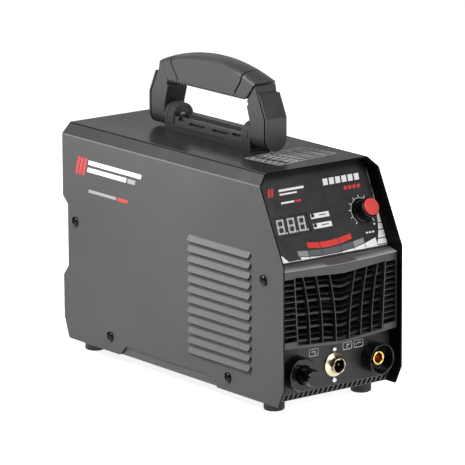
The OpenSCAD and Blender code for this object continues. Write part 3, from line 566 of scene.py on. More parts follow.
def plane_normals(mesh, crease=35):
    """Smooth shading in which the largest flat face at each corner sets the normal."""
    near = math.cos(math.radians(crease))
    normals = [p.normal.copy() for p in mesh.polygons]
    planes = []
    areas = {}
    for p, n in zip(mesh.polygons, normals):
        plane = (round(n.x, 2), round(n.y, 2), round(n.z, 2), round(n.dot(p.center) * 5000))
        planes.append(plane)
        areas[plane] = areas.get(plane, 0) + p.area
    weights = [areas[plane] ** 1.5 for plane in planes]
    around = [[] for _ in mesh.vertices]
    for p in mesh.polygons:
        for v in p.vertices:
            around[v].append(p.index)
    loops = [None] * len(mesh.loops)
    for p in mesh.polygons:
        own = normals[p.index]
        for k in p.loop_indices:
            total = Vector()
            for other in around[mesh.loops[k].vertex_index]:
                if normals[other].dot(own) >= near:
                    total += normals[other] * weights[other]
            loops[k] = total.normalized() if total.length > 0 else own
    mesh.normals_split_custom_set(loops)


def piece(name, bm, slot, body="housing", nodes=(), width=0.3, steps=3, angle=SHARP_EDGE, paint=None):
    """A finished piece in the frame, riding on its body and standing for CAD nodes."""
    bm.transform(PLACE)
    if width:
        source = as_object(bm, "bevel_source")
        add_bevel(source, width, steps, angle)
        bm = applied(source)
    obj = as_object(bm, name)
    obj.data.polygons.foreach_set("use_smooth", [True] * len(obj.data.polygons))
    plane_normals(obj.data)
    obj.data.materials.append(MAT[paint or slot])
    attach(obj, body)
    if nodes:
        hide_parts(*nodes)


# Darker paint for small CAD nodes deep inside the connectors: painted shade
CAD_PAINT = {"control_socket_pins": "painted_shade_gold", "torch_connector": "painted_shade_gold"}

# Edge radius in millimetres of CAD nodes, where it isn't 0.2
CAD_EDGE = {"front_frame": 0.25, "rubber_feet": 0.5, "fan_guard": 0, "air_hose": 0, "work_lead": 0,
            "fan_frame": 0.5, "switch_rocker": 0.4, "switch_housing": 0.4}


def dress_cad_nodes():
    """Paint, rounded edges and smooth shading for the nodes that stay as CAD made them."""
    slots = {s["node"]: s["material_slot"] for s in frame["record"]["subparts"]}
    for name, obj in NODES.items():
        obj.data.materials.clear()
        obj.data.materials.append(MAT[CAD_PAINT.get(name, slots[name])])
        for poly in obj.data.polygons:
            poly.use_smooth = True
        weld = obj.modifiers.new("weld", "WELD")
        weld.merge_threshold = 4e-6
        width = CAD_EDGE.get(name, 0.2)
        if width:
            add_bevel(obj, width, 2)
        normals = obj.modifiers.new("normals", "WEIGHTED_NORMAL")
        normals.weight = 80
        normals.keep_sharp = True


# ------------------------------------------------------------------- cover

LOUVRE_TOP, LOUVRE_PITCH, LOUVRES = 138.1, 9.67, 12
LOUVRE_Y = (46.5, 141.5)
# A window through the side under each hood, and a blind groove below it, painted black as
# shade under the hood: lower and upper edge, down from the hood's top, and how near the case's middle they go
LOUVRE_CUTS = ((4.8, 2.4, 67), (7.3, 5.6, 69.1))
SCREWS = ((28.8, 115.3), (82.2, 13), (264.9, 14.7), (320, 117.3))


def hood(top):
    """One pressed louvre on the -X side: it swells out downwards and closes at both ends."""
    outer = [(-0.5, 0.3), (0.1, -0.1), (0.65, -1.0), (1.3, -2.4), (1.95, -3.9), (2.5, -5.1),
             (2.78, -5.7), (2.8, -5.95), (2.6, -6.1)]
    inner = [(1.8, -6.05), (1.62, -5.6), (0.9, -3.9), (0.1, -2.0), (-0.7, -1.0)]
    middle, ends, reach = -3.3, 8, 4.2
    turns = [math.radians(9 + 81 * k / ends) for k in range(ends + 1)]
    places = [(LOUVRE_Y[0] + reach * (1 - math.cos(t)), math.sin(t)) for t in turns]
    places += [(LOUVRE_Y[0] + LOUVRE_Y[1] - y, swell) for y, swell in reversed(places)]
    rings = []
    for y, swell in places:
        rings.append([(-HALF_W - out * swell + 0.4 * (1 - swell), y, top + middle + (dz - middle) * swell)
                      for out, dz in outer + inner])
    return skin(rings)


def build_cover():
    """The bent sheet with its pressed louvres, screw holes and fold lines."""
    in_w, in_top = HALF_W - SHEET, HEIGHT - SHEET
    profile = rounded(
        [(-HALF_W, -5), (-HALF_W, 201), (-60, HEIGHT), (60, HEIGHT), (HALF_W, 201), (HALF_W, -5),
         (in_w, -5), (in_w, 200.38), (59.38, in_top), (-59.38, in_top), (-in_w, 200.38), (-in_w, -5)],
        [0, 2.4, 2.0, 2.0, 2.4, 0, 0, 0.9, 0.6, 0.6, 0.9, 0], 5)
    side = rounded(
        [(8.4, 0), (0, 17.4), (0, 132), (39.4, 211.5), (39.4, 230), (LENGTH, 230), (LENGTH, 140.5),
         (332, 132.5), (332, 72), (LENGTH, 62), (LENGTH, 21.3), (332.6, 0), (249.5, 0), (239.5, 9.8),
         (109, 9.8), (98, 0)],
        [1.5, 1.5, 2, 0, 0, 0, 1.5, 1.5, 1.5, 1.5, 1.5, 1.5, 1.5, 3, 3, 1.5], 4)
    sheet = carved(prism(profile, "y", -2, LENGTH + 2), prism(side, "x", -80, 80), "INTERSECT")
    tools = [prism(circle(2.6, *spot, n=32), "x", -80, 80) for spot in SCREWS]
    tops = [LOUVRE_TOP - i * LOUVRE_PITCH for i in range(LOUVRES)]
    for top in tops:
        for low, high, depth in LOUVRE_CUTS:
            cut = rect(LOUVRE_Y[0] + 3, top - low, LOUVRE_Y[1] - 3, top - high)
            tools += [beside(cut, s, depth, 72) for s in (-1, 1)]
    for s in (-1, 1):
        fold = [(s * 60.4, 211.6), (s * 58.8, 211.6), (s * 59.6, 210.1)]
        tools.append(prism(fold, "y", -5, 350))
    sheet = carved(sheet, joined(*tools))
    hoods = joined(*[hood(top) for top in tops])
    piece("cover_shell", joined(sheet, mirrored(hoods)), "cover_paint", nodes=["cover"], width=0.25)


def build_cover_screws():
    """Domed heads with cross slots, each turned differently."""
    dome = [(0, -6), (2.0, -6), (2.0, 0), (5, 0), (5.0, 0.7), (4.7, 1.25), (4.0, 1.9), (3.0, 2.4),
            (1.6, 2.75), (0, 2.85)]
    heads = []
    for y, z in SCREWS:
        head = lathe(dome, 48)
        for w, h in ((5.4, 1.15), (1.15, 5.4)):
            head = carved(head, prism(oblong(w, h, 0.3), "z", 1.5, 4))
        heads.append(moved(head, shift(-HALF_W, y, z) @ turn(-90, "Y") @ turn(90 + 13 * y, "Z")))
    piece("cover_screw_heads", mirrored(joined(*heads)), "black_screw", nodes=["cover_screws"],
          width=0.12, steps=2)


# ------------------------------------------------------------------ handle

GRIP_RADIUS, GRIP_TOP, GRIP_HALF_W = 220, 65.7, 13
LEG_W = 12


def grip_top(y):
    return GRIP_TOP - GRIP_RADIUS + math.sqrt(GRIP_RADIUS ** 2 - y * y)


def grip_loft(inset):
    """The grip's body: crowned above, flat on its sides, cut aslant at both ends."""
    rings = []
    for k in range(65):
        y = -80 + 160 * k / 64
        top, w = grip_top(y) - inset, GRIP_HALF_W - inset
        half = [(0, top), (3.6, top - 0.2), (7, top - 0.8), (9.6, top - 1.6), (w - 1.3, top - 2.7),
                (w, top - 4.6), (w, 30)]
        ring = half + [(-x, z) for x, z in reversed(half) if x > 0]
        rings.append([(x, y, z) for x, z in ring])
    end = [(60.2 - inset, 35.2 + inset), (73.4 - inset, 50.5), (73.0 - inset, 54), (73.0 - inset, 75)]
    return carved(skin(rings), prism(end + flipped(end)[::-1], "x", -20, 20), "INTERSECT")


def seam(points, width):
    """A thin curved slab across the handle, which cuts a seam."""
    left, right = [], []
    for i, p in enumerate(points):
        a = Vector(points[max(i - 1, 0)])
        b = Vector(points[min(i + 1, len(points) - 1)])
        n = (b - a).normalized()
        left.append((p[0] - n.y * width / 2, p[1] + n.x * width / 2))
        right.append((p[0] + n.y * width / 2, p[1] - n.x * width / 2))
    return prism(left + right[::-1], "x", -20, 20)


def arch(w, top, foot):
    """An outline closed by a half circle of radius w, above or below."""
    steps = 24
    sign = 1 if top > foot else -1
    mid = top - sign * w
    turns = [math.pi * k / steps for k in range(steps + 1)]
    bend = [(w * math.cos(a), mid + sign * w * math.sin(a)) for a in turns]
    return bend + [(-w, foot), (w, foot)]


def leg_solid(outline, radii, w=LEG_W):
    """A side view of a leg, rounded below in the end view."""
    side = prism(rounded(outline, radii, 4), "x", -20, 20)
    return carved(side, prism(arch(w, -w, 60), "y", 50, 100), "INTERSECT")


def on_y(outline, steps=48):
    """A turned shape with its axis along Y through the pivot."""
    return moved(lathe(outline, steps), turn(-90, "X"))


def build_handle():
    """Grip with its teeth and seams, the core inside painted black as shade in the seams, legs and end caps.
    """
    curve = [(42.6, 28), (43.4, 36), (46.2, 41.5), (50.2, 46), (53.0, 50.5), (54.2, 55), (54.6, 62),
             (54.6, 75)]
    shell = carved(grip_loft(0), joined(seam(curve, 1.9), seam(flipped(curve), 1.9)))
    teeth = [oblong(2.2, 3.4, 0.5, y=35.2, x=-55.9 + 4.3 * k, steps=2) for k in range(27)]
    teeth = [prism(tooth, "x", -12.95, 12.95) for tooth in teeth]
    core = [(85.4, -14), (88.8, -14), (88.8, 19), (79.2, 39.5), (77, 39.5), (85.4, 20)]
    core = leg_solid(core, 0, 10.4)
    leg = [(86.3, -14), (86.3, 19), (76.5, 40.1), (74.6, 41.6), (73.5, 48.0), (60.9, 32.7), (62.8, 30.2),
           (60.8, 27.4), (66, 11), (66, -14)]
    leg = leg_solid(leg, [0, 4, 0.5, 0.5, 0, 0.5, 0.5, 0.5, 6, 0])
    leg = carved(leg, on_y(rect(0, 60, 3.1, 85)))
    cap = [(90, -14), (90, 19.5), (79.7, 41), (77.8, 41.2), (88.1, 19.1), (88.1, -14)]
    cap = leg_solid(cap, [0, 3, 1.0, 0.3, 3, 0])
    piece("grip_cover", moved(joined(shell, *teeth), HANDLE), "grip_plastic", "carry_handle",
          ["handle_side_inserts"])
    # The core shows in the seams; its near-black paint is painted shade
    piece("handle_core", moved(joined(grip_loft(1.5), mirrored(core, 1)), HANDLE), "handle_plastic",
          "carry_handle", width=0.2, steps=2, paint="painted_shade_black")
    piece("handle_legs", moved(mirrored(leg, 1), HANDLE), "handle_plastic", "carry_handle",
          ["handle_frame"], width=0.5)
    piece("handle_end_caps", moved(mirrored(cap, 1), HANDLE), "handle_plastic", "carry_handle",
          ["handle_leg_caps"], width=0.45)


def build_handle_base():
    """The plinth that the handle folds on: cheeks, stepped sides, pockets and a well."""
    half, foot = 65.6, -14.5
    solid = prism(oblong(24, 7, 0.5, y=foot + 3.5, steps=2), "y", -half, half)
    upper = [(-11.2, foot + 6.4), (11.2, foot + 6.4), (10.4, 0.4), (-10.4, 0.4)]
    solid = carved(solid, prism(upper, "y", -half + 6, half - 6), "UNION")
    cheek = prism(arch(12, 12, foot + 1), "y", half - 13.5, half)
    solid = carved(solid, mirrored(cheek, 1), "UNION")
    step = [(-half + 14, foot + 7.0), (-half + 40, foot + 7.0), (-half + 45, foot + 5.4),
            (half - 14, foot + 5.4), (half - 14, foot + 4.9), (-half + 44.6, foot + 4.9),
            (-half + 39.7, foot + 6.4), (-half + 14, foot + 6.4)]
    pockets = ((-48, -36, -3.6, -1.4), (-30, -6, -4.6, -2.6), (6, 30, -4.6, -2.6), (38, 46, -3, 3))
    slot = rect(half - 13.6, foot + 6.6, half + 1, foot + 7.1)
    tools = [prism(oblong(12.6, 2 * half - 29, 1.5), "z", -7, 20)]
    for s in (-1, 1):
        tools.append(beside(step, s, 10.9, 14))
        for y0, y1, z0, z1 in pockets:
            tools.append(beside([(y0, z0), (y1, z0), (y1 - 2, z1), (y0 - 2, z1)], s, 7.2, 14))
        tools += [beside(slot, s, 11.3, 14), beside(flipped(slot), s, 11.3, 14)]
    rim = rect(11.3, half - 4.6, 12.4, half - 3.8)
    dish = rect(0, half - 14, 9.6, half - 12.4)
    pins = rect(0, half - 11, 3.02, half + 1)
    heads = [moved(lathe(rect(0, -20, 4.4, 20), 32), shift(y=y)) for y in (-30, 30)]
    for tool in (joined(*tools), mirrored(on_y(rim, 64), 1), mirrored(on_y(dish), 1),
                 joined(mirrored(on_y(pins, 32), 1), *heads)):
        solid = carved(solid, tool)
    piece("handle_plinth", moved(solid, HANDLE), "handle_plastic", nodes=["handle_base"], width=0.25)


# ------------------------------------------------------------------- front

# How far back and up the panel goes for each millimetre along it
PANEL_RUN, PANEL_RISE = 0.43366, 0.90108
# Where the front pieces bend in under the cover's bevels
INSIDE_FOLD, INSIDE_TOP_W, INSIDE_TOP = 200.255, 59.255, 209.2


def panel_point(s, n):
    """The y and z of a point s up the panel and n in front of it."""
    return (PANEL_FOOT[0] + s * PANEL_RUN - n * PANEL_RISE,
            PANEL_FOOT[1] + s * PANEL_RISE + n * PANEL_RUN)


def panel_holes(display, knob, low, high):
    """Tools for the panel's openings: display, knob shaft and the two lights."""
    holes = [prism(display, "z", low, high), prism(circle(knob, *KNOB), "z", low, high)]
    return holes + [prism(circle(1.6, *spot, 24), "z", low, high) for spot in LIGHTS]


def build_front_moulding():
    """Lower face with slots and holes, opening for the grille, panel backing, side returns."""
    corner = [(INSIDE, -1), (INSIDE, INSIDE_FOLD), (INSIDE_TOP_W, INSIDE_TOP)]
    fit = prism(flipped(corner) + corner[::-1], "y", -5, 80)
    low, top = panel_point(0, -0.5), panel_point(86, -0.5)
    low_back, top_back = panel_point(0, -3), panel_point(86, -3)
    wall = [(21.6, 0), (16, 8), (16, 126.5), low, top, top_back, low_back, (18.5, 126.5), (18.5, 9),
            (24.5, 0)]
    returns = [(17, 31), (17, 126.5), low_back, top_back, (top_back[0] + 8, top_back[1] - 3), (37, 130),
               (37, 31)]
    solid = carved(prism(wall, "x", -INSIDE, INSIDE), fit, "INTERSECT")
    tools = [prism(rect(-50, 59, 50, 115), "y", 12, 22)]
    for i in range(-11, 12):
        x = 5.78 * i
        slot = rounded([(x - 1.4, 0.9), (x + 1.6, 0.9), (x + 1.2, 7.0), (x - 1.8, 7.0)], 0.4, 2)
        tools.append(prism(slot, "y", 10, 30))
    for x, dz, r in ((TORCH_X, 0, 12), (TRIGGER_X, 0, 8.1), (WORK_X, 0, 12), (TRIGGER_X, -14.6, 1.25),
                     (TRIGGER_X, 14.6, 1.25)):
        tools.append(prism(circle(r, x, SOCKET_Z + dz), "y", 10, 30))
    solid = carved(solid, joined(*tools))
    holes = panel_holes(oblong(39, 18, 0.5, *DISPLAY), 4.15, -8, 6)
    solid = carved(solid, moved(joined(*holes), PANEL))
    bound = prism([(60, -1)] + corner, "y", -5, 90)
    side = carved(prism(returns, "x", 65.7, INSIDE), bound, "INTERSECT")
    side = carved(side, prism(circle(2.15, *SCREWS[0], n=24), "x", 60, 75))
    piece("front_moulding", joined(solid, mirrored(side)), "front_plastic", nodes=["front_frame"],
          width=0.35)


def bow(x):
    """How far back the bowed front lies at x: a hyperbola, 5.6 mm at the sides."""
    return 5.6 * (math.hypot(x, 5) - 5) / (math.hypot(INSIDE, 5) - 5)


def across(section, x0, x1, steps):
    """A solid drawn along x from sections of (y, z) that follow the bowed front."""
    return drawn(section, [x0 + (x1 - x0) * k / steps for k in range(steps + 1)])


def drawn(section, xs):
    return skin([[(x, y, z) for y, z in section(x)] for x in xs])


def fin_ring(x, y, z, thin, thick, front, back):
    """A level cut through an upright slat, thinner at its front edge."""
    return [(x - thin, y + front, z), (x + thin, y + front, z), (x + thick, y + 2, z),
            (x + thick, y + back, z), (x - thick, y + back, z), (x - thick, y + 2, z)]


def hood_section(x):
    y, low = bow(x), 116.8 + 2.6 * min(1, abs(x) / 53.5) - (0.9 if abs(x) > 54.2 else 0)
    return [(y, low), (y, 125.7), (y + 0.7, 126.3), (16, 128.9), (16, 127.2), (y + 3, 123.6), (y + 3, low)]


def sill_section(x):
    y, low = bow(x), 51.5 + max(0, abs(x) - 10) * 0.036
    top = 53.6 + 2 * abs(x) / 49.6 if abs(x) < 51 else 59.5
    return [(y + 0.4, low), (y, low + 0.6), (y, top), (y + 2.5, top), (y + 2.5, low + 2), (15.9, low + 2),
            (15.9, low)]


def cheek_section(x):
    y = bow(x) + 0.02
    return [(y, 58), (y, 120), (15.9, 120), (15.9, 58)]


def build_grille_block():
    """Hood, sill, and at each side a cheek and an upright post."""
    steps = {round(-INSIDE + 2.2 * k, 2) for k in range(63)} | {-51.1, -50.9, 50.9, 51.1}
    parts = [across(hood_section, -INSIDE, INSIDE, 62), drawn(sill_section, sorted(steps))]
    for s in (-1, 1):
        x0, x1 = sorted((s * 66.9, s * INSIDE))
        parts.append(across(cheek_section, x0, x1, 1))
        rings = []
        for k in range(9):
            x = s * (49.8 + 3.8 * k / 8)
            rings.append(fin_ring(x, bow(x), 54 + 67 * k / 8, 0.45, 0.7, 0.1, 9.5))
        parts.append(skin(rings))
    piece("grille_block", joined(*parts), "grille_plastic", nodes=["front_grille"], steps=2)


def build_grille_fins():
    """Flared slats and side fins, and behind them the sagging cross blades."""
    slats, blades = [], []
    for foot, head in ((7.7, 16), (22.3, 30.8), (36.2, 44.6)):
        for s in (-1, 1):
            rings = []
            for k in range(15):
                t = k / 14
                x = s * (foot + (head - foot) * t ** 2.2)
                rings.append(fin_ring(x, bow(x), 52.6 + 68 * t, 0.36, 0.6, 0.4, 7))
            slats.append(skin(rings))
    for i in range(10):
        def blade(x, z0=56.8 + i * 6.1, t=2.4 if i % 2 == 0 else 0.9):
            z, y = z0 - 3.0 * math.exp(-(x / 11) ** 2) + 1.3 * (x / 54) ** 2, bow(x)
            return [(y + 3.4, z + 0.3), (y + 3.8, z + t), (y + 10, z + t + 1.6), (y + 10, z + 0.8)]
        blades.append(across(blade, -52.5, 52.5, 42))
    for s in (-1, 1):
        for i in range(10):
            def fin(x, z=64.4 + 5.4 * i):
                y = bow(x)
                return [(y + 0.4, z), (y + 0.4, z + 0.6), (y + 9, z + 1.0), (y + 9, z - 0.4)]
            x0, x1 = sorted((s * (50.6 + 3.5 * i / 10), s * 67.2))
            slats.append(across(fin, x0, x1, 2))
        back = [(s * 50.5, 57), (s * 68, 57), (s * 68, 121), (s * 53.5, 121)]
        blades.append(prism(back, "y", 14.8, 15.8))
    piece("grille_slats", joined(*slats), "grille_plastic", width=0.12, steps=2, paint="slat_black")
    # The blades take a near-black copy of the grille plastic: painted shade inside the grille
    piece("grille_blades", joined(*blades), "grille_plastic", width=0.25, steps=2, paint="painted_shade_black")


def build_overlay():
    """The panel's film with its openings, and the display's window."""
    film = [(-68.1, 0.1), (68.1, 0.1), (68.1, 77.3), (61.4, 85), (-61.4, 85), (-68.1, 77.3)]
    film = prism(film, "z", -0.5, 0)
    film = carved(film, joined(*panel_holes(oblong(39.9, 18.9, 0.8, *DISPLAY), 4.3, -2, 2)))
    piece("panel_overlay", moved(film, PANEL), "overlay_film", nodes=["control_overlay"], width=0.1,
          steps=2)
    lens = prism(oblong(39.7, 18.7, 0.7, *DISPLAY), "z", -0.49, -0.02)
    piece("display_window", moved(lens, PANEL), "smoked_lens", nodes=["display_lens"], width=0)


def build_knob():
    """A fluted body and its red cap with a pointer line."""
    at = PANEL @ shift(*KNOB)
    body = lathe([(4.6, 0.5), (11.4, 0.5), (11.6, 0.8), (11.6, 1.7), (11.2, 2.3), (10.5, 2.7), (10.2, 3.2),
                  (9.6, 12.6), (9.2, 13.3), (8.5, 13.5), (3.1, 13.5), (3.1, 2.0), (4.6, 2.0)])
    flutes = []
    for k in range(24):
        a = 2 * math.pi * k / 24
        flutes.append(skin([level(circle(0.55, r * math.cos(a), r * math.sin(a), 12), z)
                            for r, z in ((10.75, 3.4), (10.1, 14))]))
    body = carved(body, joined(*flutes))
    piece("knob_grip", moved(body, at), "black_plastic", "knob", ["knob_body"], 0.12, 2, angle=40)
    cap = lathe([(0, 13.55), (7.7, 13.55), (8.1, 13.9), (8.1, 15.2), (7.8, 15.7), (7.2, 15.95), (4, 16.0),
                 (0, 16.0)], 72)
    cap = carved(cap, prism(oblong(1.0, 4.6, 0.3, 0, 5.0), "z", 15.6, 17))
    piece("knob_disc", moved(cap, at), "red_plastic", "knob", ["knob_cap"], 0.12, 2)


def socket_part(outline, x, steps=96):
    """A turned part of a connector, its axis along Y."""
    return moved(lathe(outline, steps), to_y(x, SOCKET_Z))


def build_connectors():
    """Torch connector's collar and dust cap, trigger socket, and work socket's collar."""
    collar = socket_part([(8.6, 4.2), (9.2, 3.5), (14.2, 3.5), (15.2, 4.1), (15.65, 5.2), (15.7, 8),
                          (15.7, 16), (11.9, 16), (11.9, 27), (8.6, 27)], TORCH_X)
    piece("torch_collar", collar, "black_plastic", nodes=["torch_shroud"], width=0.2)
    cap = socket_part([(0, -13.5), (6.6, -13.5), (7.4, -13.2), (7.8, -12.5), (7.9, -11.6), (7.9, 6),
                       (6.6, 6), (6.6, -9.5), (0, -9.5)], TORCH_X, 72)
    piece("dust_cap", cap, "black_plastic", "torch_dust_cap", ["torch_cap"], width=0.15)
    shell = socket_part([(6.3, 8.6), (6.55, 8.1), (6.9, 8.0), (7.1, 8.3), (7.1, 11.2), (7.5, 12.2),
                         (8.4, 13.1), (9.6, 13.9), (11.0, 14.3), (11.45, 14.7), (11.45, 16), (8, 16),
                         (8, 28.9), (6.3, 28.9)], TRIGGER_X)
    key = prism(oblong(2.2, 1.2, 0.2, TRIGGER_X, SOCKET_Z + 5.9), "y", 8.6, 18)
    piece("trigger_socket_shell", joined(shell, key), "nickel", nodes=["control_socket_shell"],
          width=0.12)
    insert = socket_part([(0, 18.5), (5.7, 18.5), (5.7, 10), (5.9, 9.2), (6.25, 9.2), (6.25, 28), (0, 28)],
                         TRIGGER_X, 72)
    pins = [prism(circle(1.1, TRIGGER_X + dx, SOCKET_Z, 20), "y", 0, 40) for dx in (-2.6, 2.6)]
    piece("trigger_socket_insert", carved(insert, joined(*pins)), "black_plastic",
          nodes=["control_socket_insert"], width=0.1, steps=2)
    collar = socket_part([(12.7, 2.4), (13.2, 1.7), (13.8, 1.5), (14.25, 1.9), (14.35, 2.6), (14.35, 16),
                          (11.9, 16), (11.9, 27), (6.78, 27), (6.78, 13.5), (12.7, 13.5)], WORK_X)
    collar = carved(collar, prism(rect(WORK_X - 1.4, 13.5, WORK_X + 1.4, 15.6), "y", 0, 12))
    collar = carved(collar, prism(rect(WORK_X - 14, 26.2, WORK_X - 12.3, 28.8), "y", 1, 12))
    piece("work_socket_collar", collar, "black_plastic", nodes=["work_socket_shell"], width=0.15)


# --------------------------------------------------------- printed graphics

GLYPH = 0.09


def decals(name, outlines, paint, matrix, slot="overlay_film", height=GLYPH):
    """Printed shapes as thin raised films on a plane."""
    films = [moved(prism(o, "z", 0.0, height), matrix) for o in outlines]
    piece(name, joined(*films), slot, width=0, paint=paint)


def band(top, bottom, gaps, gap=0.7):
    """A bar between two curves through (x, s) points, split at gaps."""
    def at(curve, x):
        for (x0, s0), (x1, s1) in zip(curve, curve[1:]):
            if x0 <= x <= x1:
                return s0 + (s1 - s0) * (x - x0) / (x1 - x0)
        return curve[-1][1]
    xs = [top[0][0]] + list(gaps) + [top[-1][0]]
    out = []
    for i, (a, b) in enumerate(zip(xs, xs[1:])):
        a += gap / 2 if i else 0
        b -= gap / 2 if i < len(xs) - 2 else 0
        steps = [a + (b - a) * k / 10 for k in range(11)]
        out.append([(x, at(bottom, x)) for x in steps] + [(x, at(top, x)) for x in reversed(steps)])
    return out


def slanted(x, s, w, h, lean=0.3):
    return [(x, s), (x + w, s), (x + w + lean * h, s + h), (x + lean * h, s + h)]


def ring_sector(r0, r1, a0, a1, x, y, steps=40):
    """An arc of a flat ring, from angle a0 to a1 clockwise from the top."""
    inner, outer = [], []
    for k in range(steps + 1):
        a = math.radians(a0 + (a1 - a0) * k / steps)
        inner.append((x + r0 * math.sin(a), y + r0 * math.cos(a)))
        outer.append((x + r1 * math.sin(a), y + r1 * math.cos(a)))
    return inner + outer[::-1]


def build_panel_print():
    """Bars, scale, plates and stripes on the panel, in place of its lettering."""
    red = band([(-23, 15.2), (-9, 13.5), (3, 13.3), (13.6, 13.9), (29, 16.2)],
               [(-23, 9.9), (-9, 7.9), (3, 7.7), (13.6, 8.4), (29, 11.3)], (-9, 13.6))
    grey = band([(-36, 8.7), (-24, 7.7), (-8.5, 6.6), (3, 6.5), (13.5, 6.9), (28.7, 8.2), (42, 10)],
                [(-36, 3.8), (-24, 2.5), (-8.5, 1.2), (3, 1.1), (13.5, 1.6), (28.7, 2.9), (42, 5.5)],
                (-24, -8.5, 13.5, 28.7))
    decals("print_red_bar", red, "print_red", PANEL)
    decals("print_grey_ends", [grey[0], grey[-1]], "print_grey", PANEL)
    decals("print_grey_middle", grey[1:-1], "print_slate", PANEL)
    white = band([(-34, 2.9), (-24, 1.6), (-14, 0.7), (-12, 0.6)], [(-34, -0.2), (-24, -0.2), (-12, -0.2)],
                 (-24,))
    white += band([(14, 0.9), (28.7, 2.1), (42, 4.6), (56, 8.2)], [(14, -0.2), (28.7, -0.2), (56, -0.2)],
                  (28.7, 42))
    marks = [1, 6.8, 14.8, 21.2, 43, 49.5, 57, 75]
    for a, b in zip(marks, marks[1:]):
        a, b = a + 0.5, b - 0.5
        inner = [(69 - 14 * math.exp(-v / 22), v) for v in (a, (a + b) / 2, b)]
        white.append(inner + [(67.9, b), (67.9, a)])
    white.append([(-67.9, 0.5), (-48.5, 0.5), (-57.5, 10), (-67.9, 20)])
    white.append(rect(-67.8, 0.05, 67.8, 0.5))
    scale = [ring_sector(12.6, 13.0, -135, 135, *KNOB)]
    for k in range(11):
        a = -135 + 27 * k
        scale.append(ring_sector(13.0, 15.6, a - 1.1, a + 1.1, *KNOB, steps=2))
    scale.append(circle(1.0, KNOB[0] + 9.6, KNOB[1] - 10.6 - 3.2, 20))
    plates = [oblong(21.5, 4.9, 0.5, 0.6, s) for s in (37.9, 28.5)]
    title = [slanted(14 + 7.4 * k, 64.3, 5.6, 6.2, 0.15) for k in range(6)]
    lines = [slanted(-38, 65.3, 29, 2.2), slanted(-38, 61.9, 20, 1.6), slanted(-39, 53.8, 15, 1.8)]
    unit = [slanted(x, 13.2, 2.6, 1.5) for x in (46.5, 50.2, 53.9)]
    decals("print_white", white + scale + plates + title + lines + unit, "print_white", PANEL)
    stripes = [slanted(-51.5 + 3.6 * k, 61.8, 2.2, 7.6, 0.35) for k in range(2)]
    stripes += [slanted(36 + 5.2 * k, 57, 3.6, 3.4, 0.15) for k in range(4)] + [slanted(-23, 53.8, 7, 1.8)]
    decals("print_red_marks", stripes, "print_red", PANEL)
    over = PANEL @ shift(z=GLYPH)
    bars = [slanted(-0.6, s - 0.5, 8.2, 1.0) for s in (38.1, 28.7)]
    decals("print_plate_marks", bars, "print_slate", over, height=0.03)
    rings = [moved(flat_ring(circle(2.1, *spot, 28), circle(1.62, *spot, 28), 0.03), over) for spot in LIGHTS]
    piece("print_light_rings", joined(*rings), "overlay_film", width=0, paint="label_black")


def shrunk(points, by):
    """A convex outline moved inwards."""
    out = []
    for i, p in enumerate(points):
        a, b, c = Vector(points[i - 1]), Vector(p), Vector(points[(i + 1) % len(points)])
        u, v = (b - a).normalized(), (c - b).normalized()
        n = Vector((-u.y, u.x)) + Vector((-v.y, v.x))
        out.append(b + n * (by / (1 + u.dot(v))))
    return out


def build_display():
    """Three slanted digits whose segments show as pale outlines."""
    w, h = 3.25, 6.1            # from a digit's middle to its outer segments' middles
    k = 0.86                    # half a segment's width
    gap, line = 0.1, 0.5        # round each segment, and its outline's width
    lean, film = 0.1, 0.2
    bar = [(-w - k, h + k), (-w + k, h - k), (w - k, h - k), (w + k, h + k)]
    post = [(w + k, h + k), (w - k, h - k), (w - k, k), (w, 0), (w + k, 0)]
    middle = [(-w, 0), (-w + k, -k), (w - k, -k), (w, 0), (w - k, k), (-w + k, k)]
    segments = [middle]
    for sx in (-1, 1):
        for sz in (-1, 1):
            turned = [(sx * x, sz * z) for x, z in post]
            segments.append(turned[::-1] if sx * sz < 0 else turned)
    segments += [bar, [(-x, -z) for x, z in bar]]
    films = []
    flat = PANEL @ shift(z=-0.9)
    for cx in (-46.0, -33.7, -21.4):
        for shape in segments:
            outer, inner = [[(cx + v.x + v.y * lean, 33.3 + v.y) for v in shrunk(shape, by)]
                            for by in (gap, gap + line)]
            films.append(moved(flat_ring(outer, inner, film), flat))
        point = circle(0.75, cx + w + 2.5 - h * lean, 33.3 - h - 0.3)
        films.append(moved(prism(point, "z", 0, film), flat))
    piece("display_digits", joined(*films), "display_face", width=0)
    block = prism(oblong(38.4, 17.8, 0.3, *DISPLAY), "z", -10.7, -0.9)
    piece("display_block", moved(block, PANEL), "display_face", nodes=["display_module"], width=0.1,
          paint="display_black")


def build_side_print():
    """Plain stripes on both sides of the case, in place of any name."""
    for tag, s, x in (("left", -1, -319), ("right", 1, 206)):
        upright = Matrix(((0, 0, s, 0), (s, 0, 0, 0), (0, 1, 0, 0), (0, 0, 0, 1)))
        side = shift(s * HALF_W) @ upright
        red = [(x + 5.6 * k, 165.5, 3.4, 17) for k in range(3)] + [(x + 67.5, 150, 16, 3)]
        white = [(x + 21, 177, 84, 4.4), (x + 19.2, 169.8, 62, 4.4)]
        grey = [(x + 83.5, 169.8, 12, 4.4), (x + 21, 150, 44, 3)]
        for colour, bars in (("red", red), ("white", white), ("grey", grey)):
            outlines = [slanted(*bar, 0.32) for bar in bars]
            decals(f"side_{tag}_{colour}", outlines, f"print_{colour}", side, "cover_paint")


